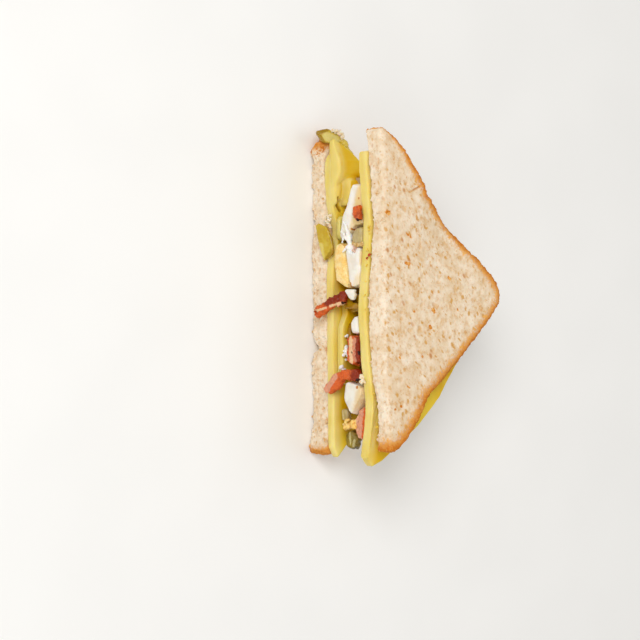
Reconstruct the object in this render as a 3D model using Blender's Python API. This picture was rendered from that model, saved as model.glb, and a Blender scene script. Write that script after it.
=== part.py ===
"""Half of a bacon, egg and cheese sandwich, cut from corner to corner and lying on one slice of bread.

Sizes are in millimetres and become metres in the meshes. Along the cut x runs from one tip to the
other, d is the depth behind the cut and z is the height above the table. The parts hang on an empty
that puts the origin under the middle of the resting slice.
"""

import math

import bmesh
import bpy
from mathutils import Vector

MM = 0.001

# Driving dimensions.
HALF_CUT = 80.0  # middle of the cut to a tip of the bread
SQUARE_CORNER = 84.0  # cut to the uncut corner of the bread, before rounding
BREAD = 12.4
LOWER_CHEESE = 5.2
SECOND_CHEESE = 4.2
UPPER_CHEESE = 5.8
FILLING = 21.6  # between the two cheeses, at the middle of the cut
TOP_BREAD = 11.2
GAP = 0.3
SLACK = 0.9  # the layers over the filling touch at their edges and lie looser inside
ORIGIN_DEPTH = 28.0
CORE_FRONT = 13.6  # the pieces seen in the cut stand in front of this depth
SIDE_PIECE_DEPTH = 11.0  # how far the pieces seen at a crust reach in
SIDE_BASE = 19.6  # the height of the lowest of them
BREAD_SLOPE = 0.032  # the resting slice is pressed thinner towards one tip
BREAD_POINTS = 92  # points round the outline of a slice
FILLING_TOP = BREAD + GAP + LOWER_CHEESE + FILLING + GAP
STACK = FILLING_TOP + UPPER_CHEESE + GAP + TOP_BREAD

# Humps of the filling under the upper cheese: place along the cut, half width, height.
SWELLS = ((-33.0, 14.0, 1.9), (6.0, 15.0, -2.2), (55.0, 18.0, 4.2))
SWELL_DEPTH = 45.0

LEG_1_ANGLE = math.atan2(SQUARE_CORNER, HALF_CUT)
LEG_2_ANGLE = math.atan2(-SQUARE_CORNER, HALF_CUT)

PALETTE = {
    "crumb": ((0.78, 0.62, 0.44), 0.9),
    "cheese": ((0.86, 0.66, 0.13), 0.4),
    "egg_white": ((0.88, 0.85, 0.77), 0.35),
    "egg_yolk": ((0.93, 0.68, 0.24), 0.75),
    "bacon": ((0.45, 0.12, 0.05), 0.4),
    "pickle": ((0.42, 0.35, 0.06), 0.3),
    "filling": ((0.80, 0.70, 0.42), 0.6),
}


def clear_scene():
    """Removes whatever the scene holds."""
    for old in list(bpy.data.objects):
        bpy.data.objects.remove(old)


def new_collection(name):
    """Makes a collection and links it to the scene."""
    collection = bpy.data.collections.new(name)
    bpy.context.scene.collection.children.link(collection)
    return collection


def make_materials():
    """Makes one material for each food."""
    made = {}
    for name, (colour, roughness) in PALETTE.items():
        material = bpy.data.materials.new(name)
        material.use_nodes = True
        shader = material.node_tree.nodes["Principled BSDF"]
        shader.inputs["Base Color"].default_value = (*colour, 1.0)
        shader.inputs["Roughness"].default_value = roughness
        shader.inputs["Metallic"].default_value = 0.0
        made[name] = material
    return made


def hump(offset, half_width):
    """A bell of height 1 at zero."""
    return math.exp(-((offset / half_width) ** 2))


def smoothstep(value, start, end):
    """Rises smoothly from 0 at start to 1 at end."""
    t = min(max((value - start) / (end - start), 0.0), 1.0)
    return t * t * (3.0 - 2.0 * t)


# Heights of the layers over a point of the table.


def lower_bread_top(x, d):
    """The resting slice is pressed a little thinner at one end."""
    return BREAD + BREAD_SLOPE * (x - 5.0)


def lower_cheese_under(x, d):
    """The lower cheese lies on the resting slice."""
    return lower_bread_top(x, d) + GAP


def lower_cheese_top(x, d):
    """What the filling lies on."""
    return lower_cheese_under(x, d) + LOWER_CHEESE


def over_lower_cheese(x, d):
    """The underside of what rests on the lower cheese."""
    return lower_cheese_top(x, d) + GAP


def second_cheese_top(x, d):
    """A second, smaller sheet of cheese lies on the first."""
    return over_lower_cheese(x, d) + SECOND_CHEESE


def upper_cheese_under(x, d):
    """The upper cheese follows the humps of the filling and sags at a tip and at a crust."""
    swell = sum(height * hump(x - place, width) for place, width, height in SWELLS)
    tip_droop = 0.8 * smoothstep(-x, 55.0, 73.0)
    return FILLING_TOP + swell * hump(max(d, 0.0), SWELL_DEPTH) - tip_droop - crust_droop(x, d)


def upper_cheese_top(x, d):
    """The sheet has one thickness all over."""
    return upper_cheese_under(x, d) + UPPER_CHEESE


def upper_bread_under(x, d):
    """The upper slice touches the cheese along the cut and lies looser behind it."""
    tip_droop = 2.0 * smoothstep(-x, 74.0, 83.0)
    tip_lift = 3.6 * smoothstep(x, 45.0, 75.0)
    slack = SLACK * smoothstep(d, 0.5, 5.0)
    return upper_cheese_top(x, d) + GAP + slack + tip_lift - tip_droop


def upper_bread_top(x, d):
    """The upper slice is nearly flat, with one tip lifted and the other drooping."""
    rise = 3.4 * smoothstep(x, 10.0, 70.0) * hump(max(d, 0.0), SWELL_DEPTH)
    tip_droop = 1.5 * smoothstep(-x, 70.0, 84.0)
    return STACK + rise - tip_droop - crust_droop(x, d)


def crust_droop(x, d):
    """The upper layers sag where the crust of the first leg has little under it."""
    return 3.6 * hump(x + 38.0, 20.0) * hump(d - 46.0, 17.0)


# Outlines.


def rounded_corner(before, corner, after, radius, steps=4):
    """Points of the arc that rounds one corner of an outline."""
    to_before = (before - corner).normalized()
    to_after = (after - corner).normalized()
    half = to_before.angle(to_after) / 2.0
    reach = radius / math.tan(half)
    reach = min(reach, 0.48 * (before - corner).length, 0.48 * (after - corner).length)
    start = corner + to_before * reach
    end = corner + to_after * reach
    points = []
    for i in range(steps + 1):
        t = i / steps
        points.append(start * (1 - t) ** 2 + corner * 2 * t * (1 - t) + end * t * t)
    return points


def outline(corners, count):
    """Evenly spaced points round a polygon whose corners (x, y, radius) are rounded."""
    places = [Vector(c[:2]) for c in corners]
    path = []
    for i, corner in enumerate(corners):
        after = places[(i + 1) % len(places)]
        path += rounded_corner(places[i - 1], places[i], after, corner[2])
    lengths = [(path[(i + 1) % len(path)] - p).length for i, p in enumerate(path)]
    step = sum(lengths) / count
    points, travelled, i = [], 0.0, 0
    for n in range(count):
        while travelled + lengths[i] < n * step:
            travelled += lengths[i]
            i += 1
        share = (n * step - travelled) / lengths[i]
        points.append(path[i].lerp(path[(i + 1) % len(path)], share))
    return points


def centre_of(points):
    """The mean of an outline's points."""
    return sum(points, Vector((0.0, 0.0))) / len(points)


# Solids.

# Each section runs from the middle of the upper face, over the rim, to the middle of the lower face:
# share of the way out, inset of the rim in millimetres, share of the thickness.
BREAD_SECTION = (
    (0.0, 0.0, 1.0), (0.3, 0.0, 1.0), (0.58, 0.0, 1.0), (0.82, 0.0, 1.0), (1.0, 2.6, 1.0),
    (1.0, 0.7, 0.86), (1.0, 0.0, 0.6), (1.0, 0.1, 0.3), (1.0, 0.9, 0.1), (1.0, 2.4, 0.0),
    (0.82, 0.0, 0.0), (0.45, 0.0, 0.0), (0.0, 0.0, 0.0),
)
SHEET_SECTION = (
    (0.0, 0.0, 1.0), (0.35, 0.0, 1.0), (0.7, 0.0, 1.0), (1.0, 0.7, 1.0),
    (1.0, 0.0, 0.8), (1.0, 0.0, 0.2), (1.0, 0.7, 0.0),
    (0.7, 0.0, 0.0), (0.35, 0.0, 0.0), (0.0, 0.0, 0.0),
)
CHUNK_SECTION = (
    (0.0, 0.0, 1.0), (0.55, 0.0, 1.0), (1.0, 0.6, 0.96),
    (1.0, 0.0, 0.75), (1.0, 0.2, 0.2), (1.0, 1.0, 0.0), (0.0, 0.0, 0.0),
)
HEAP_SECTION = (
    (0.0, 0.0, 1.0), (0.4, 0.0, 1.0), (0.75, 0.0, 1.0), (1.0, 2.0, 0.97), (1.0, 0.0, 0.75),
    (1.0, 1.2, 0.5), (1.0, 0.2, 0.25), (1.0, 1.5, 0.03), (0.75, 0.0, 0.0), (0.4, 0.0, 0.0),
    (0.0, 0.0, 0.0),
)


def slab_mesh(name, points, section, low, high, softness=None):
    """A closed mesh over an outline, made from a UV sphere whose rings are moved to the section.

    low and high give the lower and the upper face at a point, and softness scales the rim's inset.
    """
    count = len(points)
    rings = len(section) - 1
    centre = centre_of(points)
    mesh = bmesh.new()
    bmesh.ops.create_uvsphere(mesh, u_segments=count, v_segments=rings, radius=1.0)
    for vertex in mesh.verts:
        ring = round(math.acos(max(-1.0, min(1.0, vertex.co.z))) / math.pi * rings)
        turn = math.atan2(vertex.co.y, vertex.co.x) / (2.0 * math.pi) * count
        edge = points[round(turn) % count] - centre
        share, inset, height = section[ring]
        if softness:
            inset *= softness(*(centre + edge))
        place = centre + edge * share * (1.0 - inset / edge.length)
        z = low(*place) + (high(*place) - low(*place)) * height
        vertex.co = Vector((place.x, place.y, z)) * MM
    mesh.normal_update()
    bmesh.ops.recalc_face_normals(mesh, faces=mesh.faces)
    data = bpy.data.meshes.new(name)
    mesh.to_mesh(data)
    mesh.free()
    data.shade_smooth()
    data.set_sharp_from_angle(angle=math.radians(50))
    return data


def level(height):
    """A face at one height."""
    return lambda x, y: height


class Sandwich:
    """Collects the parts, all hung on one empty."""

    def __init__(self):
        """Starts with no parts, only the empty and its collection."""
        self.materials = make_materials()
        self.collection = new_collection("sandwich_half")
        self.root = bpy.data.objects.new("sandwich_root", None)
        self.root.location = Vector((0.0, -ORIGIN_DEPTH, 0.0)) * MM
        self.collection.objects.link(self.root)

    def add(self, name, data, material, place=(0.0, 0.0, 0.0), turn=(0.0, 0.0, 0.0)):
        """Adds one part at a place in millimetres, turned by angles in degrees."""
        data.materials.append(self.materials[material])
        part = bpy.data.objects.new(name, data)
        part.location = Vector(place) * MM
        part.rotation_euler = [math.radians(angle) for angle in turn]
        part.parent = self.root
        self.collection.objects.link(part)
        return part

    def layer(self, name, material, points, section, low, high, softness=None):
        """A layer over an outline that follows the heights below and above it."""
        return self.add(name, slab_mesh(name, points, section, low, high, softness), material)

    def stacked(self, name, corners, low, thickness):
        """A flat slice of pickle that lies on the height low."""
        self.layer(name, "pickle", outline(corners, 18), CHUNK_SECTION, low,
                   lambda x, d: low(x, d) + thickness)

    def face_piece(self, name, material, corners, front, thickness=None, tilt=0.0, count=16):
        """A piece seen in the cut: its outline (x, z) stands upright and runs back from front.

        Without a thickness it runs back to the core.
        """
        points = outline([(x, z, 1.0) for x, z in corners], count)
        middle = centre_of(points)
        if thickness is None:
            thickness = CORE_FRONT - GAP - front
        points = [p - middle for p in points]
        data = slab_mesh(name, points, CHUNK_SECTION, level(-thickness), level(0.0))
        return self.add(name, data, material, (middle.x, front, middle.y), (90.0 + tilt, 0, 0))

    def side_piece(self, name, material, leg, along, height, thickness, length, reach):
        """A D-shaped piece that shows between the layers along a crust, reach past the crust."""
        half = length / 2.0
        corners = (
            (-half, -SIDE_PIECE_DEPTH, 2.0), (half, -SIDE_PIECE_DEPTH, 2.0),
            (half * 0.8, reach, 9.0), (-half * 0.8, reach, 9.0),
        )
        data = slab_mesh(name, outline(corners, 18), SHEET_SECTION, level(0.0), level(thickness))
        angle = LEG_1_ANGLE if leg == 1 else LEG_2_ANGLE
        start = Vector((-HALF_CUT, 0.0)) if leg == 1 else Vector((-1.0, SQUARE_CORNER))
        place = start + Vector((math.cos(angle), math.sin(angle))) * along
        return self.add(name, data, material, (*place, height), (0, 0, math.degrees(angle)))


def crust_softness(x, d):
    """The crust is rounded and the cut side is crisp."""
    return 0.15 + 0.85 * smoothstep(d, 0.0, 9.0)


def waisted(points, depth):
    """The first leg of a slice draws in between its tip and the square corner, and is nicked there."""
    moved = []
    for p in points:
        on_leg = smoothstep(p.y, 8.0, 20.0) * smoothstep(-p.x, 4.0, 18.0)
        inward = depth * hump(p.x + 43.0, 19.0) * on_leg
        nick = 1.6 * hump(p.x + 55.0, 1.8) * on_leg
        moved.append(p + Vector((0.72, -0.69)) * (inward + nick))
    return moved


def bowed(points):
    """The second leg of a slice swells in its middle."""
    moved = []
    for p in points:
        on_leg = smoothstep(p.y, 3.0, 12.0) * smoothstep(p.x, 2.0, 12.0)
        outward = 1.2 * hump(p.x - 28.0, 18.0)
        moved.append(p + Vector((0.72, 0.69)) * outward * on_leg)
    return moved


def torn(points, depth):
    """The cut side of a soft slice wanders a little."""
    moved = []
    for p in points:
        on_cut = 1.0 - smoothstep(p.y, 0.5, 3.0)
        wander = depth * math.sin(p.x * 0.21) * math.sin(p.x * 0.083 + 1.0)
        moved.append(p + Vector((0.0, wander * on_cut)))
    return moved


def add_breads(sandwich):
    """The two slices."""
    lower = [
        (-72.0, -0.2, 0.8), (62.0, -0.4, 8.0), (77.6, -3.2, 1.5), (78.2, 5.0, 5.0),
        (-2.0, SQUARE_CORNER, 13.0), (-82.0, 14.0, 4.0), (-87.2, 9.6, 2.5), (-82.4, 4.4, 3.0),
        (-79.6, -2.2, 1.2), (-73.0, -3.2, 0.8),
    ]
    upper = [
        (-84.0, -1.7, 1.5), (-70.0, -0.2, 6.0), (74.7, 0.0, 1.5), (75.2, 6.0, 3.0), (69.4, 13.4, 5.0),
        (58.5, 22.6, 5.0), (49.4, 27.2, 2.5), (41.5, 37.4, 6.0), (-2.0, SQUARE_CORNER, 13.0),
        (-80.0, 8.0, 9.0),
    ]
    resting = torn(waisted(outline(lower, BREAD_POINTS), 2.5), 0.7)
    sandwich.layer("bread_bottom", "crumb", resting, BREAD_SECTION, level(0.0), lower_bread_top,
                   crust_softness)
    covering = torn(bowed(waisted(outline(upper, BREAD_POINTS), 3.6)), 0.5)
    sandwich.layer("bread_top", "crumb", covering, BREAD_SECTION, upper_bread_under, upper_bread_top,
                   crust_softness)


def add_cheeses(sandwich):
    """The two full sheets, a second sheet on the lower one and two broken bits."""
    lower = outline([
        (-77.4, 0.0, 1.0), (78.6, -1.2, 1.2), (79.6, 1.0, 1.2), (-1.0, 79.0, 5.0),
    ], 52)
    dented = [p + Vector((0.0, 4.4 * hump(p.x + 33.0, 11.0) * (p.y < 1.0))) for p in lower]
    sandwich.layer("cheese_lower", "cheese", dented, SHEET_SECTION, lower_cheese_under, lower_cheese_top)
    upper = outline([
        (-71.6, -1.4, 0.8), (-40.0, -0.4, 8.0), (81.0, -1.2, 1.5), (83.0, 4.5, 4.0),
        (65.4, 28.0, 16.0), (50.4, 44.6, 16.0), (4.0, 80.5, 5.0), (-72.4, 6.4, 1.5),
        (-73.4, 2.6, 1.0),
    ], 56)
    sandwich.layer("cheese_upper", "cheese", upper, SHEET_SECTION, upper_cheese_under, upper_cheese_top)
    tip = outline([
        (-81.6, -0.8, 1.0), (-53.6, -0.4, 0.8), (-61.2, 4.8, 1.0), (-61.6, 18.6, 2.0),
        (-66.5, 16.5, 1.5), (-74.5, 9.2, 3.0),
    ], 26)
    sandwich.layer("cheese_broken_tip", "cheese", tip, SHEET_SECTION, over_lower_cheese,
                   lambda x, d: over_lower_cheese(x, d) + 1.6 + 6.4 * smoothstep(-x, 52.0, 64.0))
    inner = outline([
        (-60.6, 5.6, 0.8), (-46.8, 5.0, 0.8), (-47.6, 11.4, 1.5), (-60.4, 12.0, 1.5),
    ], 18)
    sandwich.layer("cheese_broken_inner", "cheese", inner, SHEET_SECTION, over_lower_cheese,
                   lambda x, d: over_lower_cheese(x, d) + 8.8 - 2.4 * smoothstep(x, -54.0, -46.0))
    second = outline([
        (-3.4, 4.4, 1.0), (6.0, 5.6, 2.0), (14.0, 1.8, 6.0), (42.6, 1.4, 1.0),
        (43.0, 12.8, 2.0), (-3.0, 13.0, 2.0),
    ], 30)
    sandwich.layer("cheese_second", "cheese", second, SHEET_SECTION, over_lower_cheese,
                   second_cheese_top)


def add_egg(sandwich):
    """The pieces of boiled egg in the cut, white and yolk apart."""
    sandwich.face_piece("egg_strip_white", "egg_white", (
        (-57.0, 32.4), (-50.0, 30.0), (-46.0, 28.2), (-41.6, 25.4), (-34.0, 24.2), (-29.3, 23.4),
        (-29.4, 30.0), (-32.8, 31.0), (-35.6, 34.0), (-36.2, 40.5), (-46.0, 39.9), (-55.6, 39.4),
    ), 0.2, count=24)
    sandwich.face_piece("egg_wedge_yolk", "egg_yolk", (
        (-27.6, 20.4), (-24.5, 18.8), (-18.0, 18.2), (-9.0, 20.0), (-4.9, 28.2), (-5.2, 30.4),
        (-13.0, 28.8), (-21.0, 27.2), (-28.2, 26.2),
    ), -0.6, count=18)
    sandwich.face_piece("egg_wedge_white", "egg_white", (
        (-28.0, 26.9), (-21.0, 27.9), (-13.0, 29.5), (-5.2, 31.1), (-5.6, 37.8), (-12.0, 39.1),
        (-20.5, 40.0), (-24.8, 40.2), (-26.6, 33.0),
    ), -0.5, count=18)
    sandwich.face_piece("egg_chip_white", "egg_white", (
        (-4.6, 27.4), (-1.8, 29.8), (0.2, 31.4), (1.2, 34.6), (-1.9, 36.4), (-3.4, 34.6),
        (-4.5, 36.6),
    ), -1.4, 2.6, count=16)
    sandwich.face_piece("egg_side_chip_white", "egg_white", (
        (8.0, 36.2), (9.0, 32.6), (12.0, 30.2), (17.6, 31.0), (17.9, 37.6),
    ), 0.4, count=14)
    sandwich.face_piece("egg_chunk_white", "egg_white", (
        (40.4, 29.8), (42.8, 41.4), (47.4, 42.0), (57.8, 33.8), (51.3, 28.6), (48.4, 27.6),
    ), -2.2, count=18)
    sandwich.face_piece("egg_crumbled_yolk", "egg_yolk", (
        (61.8, 20.6), (61.6, 26.6), (59.8, 28.0), (60.0, 30.6), (64.0, 30.8), (65.2, 22.6),
    ), 2.4, 4.6, count=16)


def add_bacon(sandwich):
    """The pieces of bacon in the cut, one of them draped over the lower layers."""
    sandwich.face_piece("bacon_high", "bacon", (
        (-44.8, 35.0), (-45.6, 39.4), (-38.9, 40.2), (-38.0, 38.4), (-40.6, 35.4),
    ), -3.0, 2.9, count=14)
    sandwich.face_piece("bacon_draped", "bacon", (
        (7.4, 8.4), (3.0, 11.0), (-3.0, 20.0), (-4.6, 25.8), (-1.5, 28.2), (2.2, 25.6),
        (5.0, 19.0), (9.0, 12.0),
    ), -4.6, 3.0, -20.0)
    sandwich.face_piece("bacon_middle", "bacon", (
        (18.4, 28.2), (18.3, 37.2), (22.0, 38.4), (31.5, 39.2), (33.3, 34.0), (31.8, 29.4),
        (26.0, 28.6), (21.0, 29.0),
    ), -2.0)
    sandwich.face_piece("bacon_band", "bacon", (
        (45.6, 15.4), (47.6, 20.0), (44.0, 27.0), (39.6, 28.8), (41.2, 40.4), (34.4, 39.4),
        (34.6, 35.5), (35.3, 29.0), (37.8, 22.8), (42.6, 18.4),
    ), -3.6, 3.6, -10.0, count=20)
    sandwich.face_piece("bacon_low", "bacon", (
        (52.8, 38.6), (53.8, 42.8), (60.0, 42.4), (67.8, 40.6), (70.4, 37.4), (66.0, 33.4),
        (59.8, 32.8),
    ), 1.0)


def add_pickles(sandwich):
    """The slices and ends of pickle in the cut."""
    sandwich.stacked("pickle_tip", [
        (-84.2, -6.6, 0.8), (-78.8, -2.0, 1.5), (-78.6, 4.0, 2.0), (-79.6, 9.0, 2.0),
        (-82.4, 9.6, 2.0), (-86.4, 1.0, 4.0),
    ], lower_cheese_under, 3.2)
    sandwich.face_piece("pickle_ledge", "pickle", (
        (-38.8, 8.8), (-36.4, 15.0), (-29.6, 18.8), (-22.2, 19.0), (-18.8, 13.6), (-29.6, 10.2),
    ), -3.4, 2.4, -24.0, count=20)
    sandwich.face_piece("pickle_round", "pickle", (
        (-31.6, 32.4), (-34.4, 35.2), (-34.9, 40.4), (-27.4, 40.6), (-27.4, 35.0), (-29.0, 32.4),
    ), -0.8, count=16)
    sandwich.stacked("pickle_stack_lower", [
        (-42.2, 2.0, 4.0), (-29.0, 1.6, 4.0), (-28.8, 12.8, 3.0), (-42.0, 13.0, 3.0),
    ], over_lower_cheese, 3.4)
    sandwich.stacked("pickle_stack_upper", [
        (-42.2, 4.4, 2.5), (-31.0, 5.4, 2.5), (-30.4, 12.6, 2.5), (-42.0, 13.0, 2.5),
    ], lambda x, d: over_lower_cheese(x, d) + 3.4 + GAP, 2.0)
    sandwich.stacked("pickle_long", [
        (11.0, 4.4, 4.0), (32.0, 3.2, 4.0), (33.6, 12.6, 4.0), (11.5, 12.8, 4.0),
    ], lambda x, d: second_cheese_top(x, d) + GAP, 3.4)
    sandwich.face_piece("pickle_olive_front", "pickle", (
        (-3.2, 23.2), (-2.6, 27.6), (2.0, 30.4), (2.2, 35.6), (5.4, 35.8), (5.0, 23.2),
    ), 1.8, 3.2, count=16)
    sandwich.face_piece("pickle_olive_back", "pickle", (
        (-3.0, 23.4), (-2.6, 33.5), (6.4, 35.4), (7.4, 23.4),
    ), 5.6, count=16)
    sandwich.face_piece("pickle_small", "pickle", (
        (54.8, 20.4), (54.4, 25.0), (58.8, 26.6), (60.4, 26.0), (60.8, 20.8),
    ), 2.6, 2.8, count=14)
    sandwich.face_piece("pickle_end", "pickle", (
        (66.4, 20.9), (65.0, 28.8), (68.3, 32.4), (74.9, 28.6), (74.0, 21.6),
    ), 4.0, 4.6, 12.0, count=16)


def add_sides(sandwich):
    """What shows between the layers along the two crusts."""
    # Name, food, leg, distance along the leg, height over SIDE_BASE, thickness, length, reach.
    for name, material, leg, along, height, thickness, length, reach in (
        ("pickle_side_1", "pickle", 1, 52.0, -0.8, 3.6, 24.0, 1.0),
        ("egg_side_1_white", "egg_white", 1, 79.0, -0.2, 7.0, 26.0, 2.0),
        ("bacon_side_1", "bacon", 1, 65.0, 7.4, 3.8, 24.0, 0.0),
        ("pickle_side_2", "pickle", 1, 101.0, 0.2, 3.8, 16.0, 0.0),
        ("pickle_side_3", "pickle", 2, 28.0, 0.2, 3.8, 24.0, 1.0),
        ("egg_side_2_white", "egg_white", 2, 54.0, 1.0, 7.0, 26.0, 2.0),
        ("bacon_side_2", "bacon", 2, 58.0, 8.6, 3.8, 22.0, 1.0),
        ("pickle_side_4", "pickle", 2, 82.0, 1.4, 3.8, 20.0, 0.0),
    ):
        sandwich.side_piece(name, material, leg, along, SIDE_BASE + height, thickness, length, reach)


def add_core(sandwich):
    """Chopped egg and sauce that the pieces lie in, set back from every side."""
    points = outline([
        (-47.0, CORE_FRONT, 4.0), (45.0, CORE_FRONT, 4.0), (-1.0, 64.0, 6.0),
    ], 36)
    lumpy = [p + (p - centre_of(points)).normalized() * math.sin(i * 2.1) * 0.8
             for i, p in enumerate(points)]
    lumpy = [Vector((p.x, max(p.y, CORE_FRONT))) for p in lumpy]
    sandwich.layer("filling_core", "filling", lumpy, HEAP_SECTION, over_lower_cheese,
                   lambda x, d: upper_cheese_under(x, d) - GAP - SLACK)


def main():
    """Builds the sandwich layer by layer."""
    clear_scene()
    sandwich = Sandwich()
    add_breads(sandwich)
    add_cheeses(sandwich)
    add_core(sandwich)
    add_egg(sandwich)
    add_bacon(sandwich)
    add_pickles(sandwich)
    add_sides(sandwich)


main()
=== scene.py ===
"""The looks of half a bacon, egg and cheese sandwich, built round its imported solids.

Everything is in metres in the frame of the solids: x runs along the cut, y goes in from the cut to
the square corner and z is up. Sizes are written in millimetres and multiplied by MM.
"""

import logging
import math
import random
from dataclasses import dataclass
from enum import Enum

import bpy
import numpy as np
from mathutils import Euler, Matrix, Vector
from mathutils.kdtree import KDTree


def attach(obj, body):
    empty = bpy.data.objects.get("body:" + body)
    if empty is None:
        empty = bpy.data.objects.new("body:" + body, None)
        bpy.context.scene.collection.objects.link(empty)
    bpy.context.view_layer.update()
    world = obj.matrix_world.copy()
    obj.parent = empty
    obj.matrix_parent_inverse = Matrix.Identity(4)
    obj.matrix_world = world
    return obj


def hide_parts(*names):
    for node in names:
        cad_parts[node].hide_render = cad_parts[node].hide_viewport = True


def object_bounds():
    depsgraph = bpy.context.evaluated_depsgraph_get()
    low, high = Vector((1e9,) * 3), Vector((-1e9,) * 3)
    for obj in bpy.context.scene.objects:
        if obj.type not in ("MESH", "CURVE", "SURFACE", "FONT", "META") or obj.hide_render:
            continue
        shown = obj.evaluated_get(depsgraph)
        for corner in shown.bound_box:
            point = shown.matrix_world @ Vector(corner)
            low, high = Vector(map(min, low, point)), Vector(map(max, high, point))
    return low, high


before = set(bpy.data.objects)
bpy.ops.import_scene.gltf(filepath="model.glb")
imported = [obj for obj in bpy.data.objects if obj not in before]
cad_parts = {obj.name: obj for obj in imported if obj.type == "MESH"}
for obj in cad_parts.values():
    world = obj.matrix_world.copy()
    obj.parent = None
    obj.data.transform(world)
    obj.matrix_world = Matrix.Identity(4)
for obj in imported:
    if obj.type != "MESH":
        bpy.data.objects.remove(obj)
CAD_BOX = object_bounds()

LOG = logging.getLogger("sandwich")

MM = 0.001
CUT_Y = -28.0 * MM  # the cut side of the slices

CRUMB_FAR = 9.0  # so far from the crust that nothing is browned
MERGED = 0.01 * MM  # vertices nearer than this are one
ON_PLANE = 0.001 * MM  # vertices nearer than this to a cut lie on it
TINY = 1e-9  # keeps a stroke of no length from dividing by nothing
WEIGHT_STEPS = 10  # how many levels the masks have
SEED_STEP = Vector((0.37, 0.11, 0.23))  # the way in which a seed moves a relief's noise
SEED_REACH = 7.0  # and how far, in lumps
STROKE_CORE = 0.3  # the part of a stroke's radius that has its full weight
DOT_CORE = 0.35  # the part of a dot's radius that has its full strength
MIX_FIRST, MIX_SECOND, MIX_RESULT = 6, 7, 2  # the colour sockets of a Mix node

Colour = tuple[float, float, float, float]
Span = tuple[float, float]
Point = tuple[float, float, float]


def srgb(code: str) -> Colour:
    """Turns a colour code such as F0E0C8 into linear red, green, blue and alpha.

    Args:
        code: The code, with two digits for each of the three colours.

    Returns:
        The colour that a socket takes.
    """
    parts = [int(code[i : i + 2], 16) / 255.0 for i in (0, 2, 4)]
    linear = [c / 12.92 if c <= 0.04045 else ((c + 0.055) / 1.055) ** 2.4 for c in parts]
    return (linear[0], linear[1], linear[2], 1.0)


def smoothstep(values: np.ndarray, start: float, end: float) -> np.ndarray:
    """Rises smoothly from 0 at start to 1 at end, or falls where end is below start."""
    t = np.clip((values - start) / (end - start), 0.0, 1.0)
    return t * t * (3.0 - 2.0 * t)


def hump(values: np.ndarray, half_width: float) -> np.ndarray:
    """A bell of height 1 at zero."""
    return np.exp(-((values / half_width) ** 2))


class Slot(Enum):
    """The finish slots."""

    CRUMB = "crumb"
    CHEESE = "cheese"
    EGG_WHITE = "egg_white"
    EGG_YOLK = "egg_yolk"
    BACON = "bacon"
    PICKLE = "pickle"
    FILLING = "filling"


class View(Enum):
    """From where a mark is seen."""

    CUT = "cut"
    TOP = "top"


class Pattern(Enum):
    """The kinds of lumps that a relief can have."""

    CLOUDS = "CLOUDS"
    CELLS = "VORONOI"


# ---------------------------------------------------------------------------- shader graphs


@dataclass(frozen=True)
class Dots:
    """Scattered soft dots: their spacing in millimetres, and their radius as a share of it.

    share says how many of the places have a dot, bent how far noise pulls the dots out of round,
    stretch how far they are drawn out along x, y and z, and turn how far the pattern is turned about
    z, in radians.
    """

    spacing: float
    radius: float
    share: float
    seed: float = 0.0
    bent: float = 0.0
    stretch: Point = (1.0, 1.0, 1.0)
    turn: float = 0.0


class Wire:
    """An output of a shader graph, on which arithmetic adds Math nodes."""

    def __init__(self, graph: "Graph", socket: bpy.types.NodeSocket) -> None:
        """Wraps one output socket of a graph."""
        self.graph = graph
        self.socket = socket

    def _math(self, operation: str, first: "Wire | float", second: "Wire | float" = 0.0) -> "Wire":
        """Adds one Math node with two inputs."""
        settings = {"operation": operation}
        return self.graph.node("ShaderNodeMath", settings, {0: first, 1: second})

    def __add__(self, other: "Wire | float") -> "Wire":
        """Adds a value."""
        return self._math("ADD", self, other)

    def __radd__(self, other: float) -> "Wire":
        """Is added to a number."""
        return self._math("ADD", other, self)

    def __sub__(self, other: "Wire | float") -> "Wire":
        """Takes a value away."""
        return self._math("SUBTRACT", self, other)

    def __rsub__(self, other: float) -> "Wire":
        """Is taken from a number."""
        return self._math("SUBTRACT", other, self)

    def __mul__(self, other: "Wire | float") -> "Wire":
        """Multiplies by a value."""
        return self._math("MULTIPLY", self, other)

    def __rmul__(self, other: float) -> "Wire":
        """Multiplies a number."""
        return self._math("MULTIPLY", other, self)

    def higher(self, other: "Wire | float") -> "Wire":
        """The larger of two values."""
        return self._math("MAXIMUM", self, other)

    def lower(self, other: "Wire | float") -> "Wire":
        """The smaller of two values."""
        return self._math("MINIMUM", self, other)

    def ramp(self, start: float, end: float) -> "Wire":
        """Rises smoothly from 0 at start to 1 at end, or falls where end is below start.

        Args:
            start: The value where the result is 0.
            end: The value where the result is 1.

        Returns:
            The smoothed and clamped value.
        """
        low, high = (start, end) if start < end else (end, start)
        settings = {"interpolation_type": "SMOOTHSTEP"}
        rise = self.graph.node("ShaderNodeMapRange", settings, {0: self, 1: low, 2: high})
        return rise if start < end else 1.0 - rise


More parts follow.
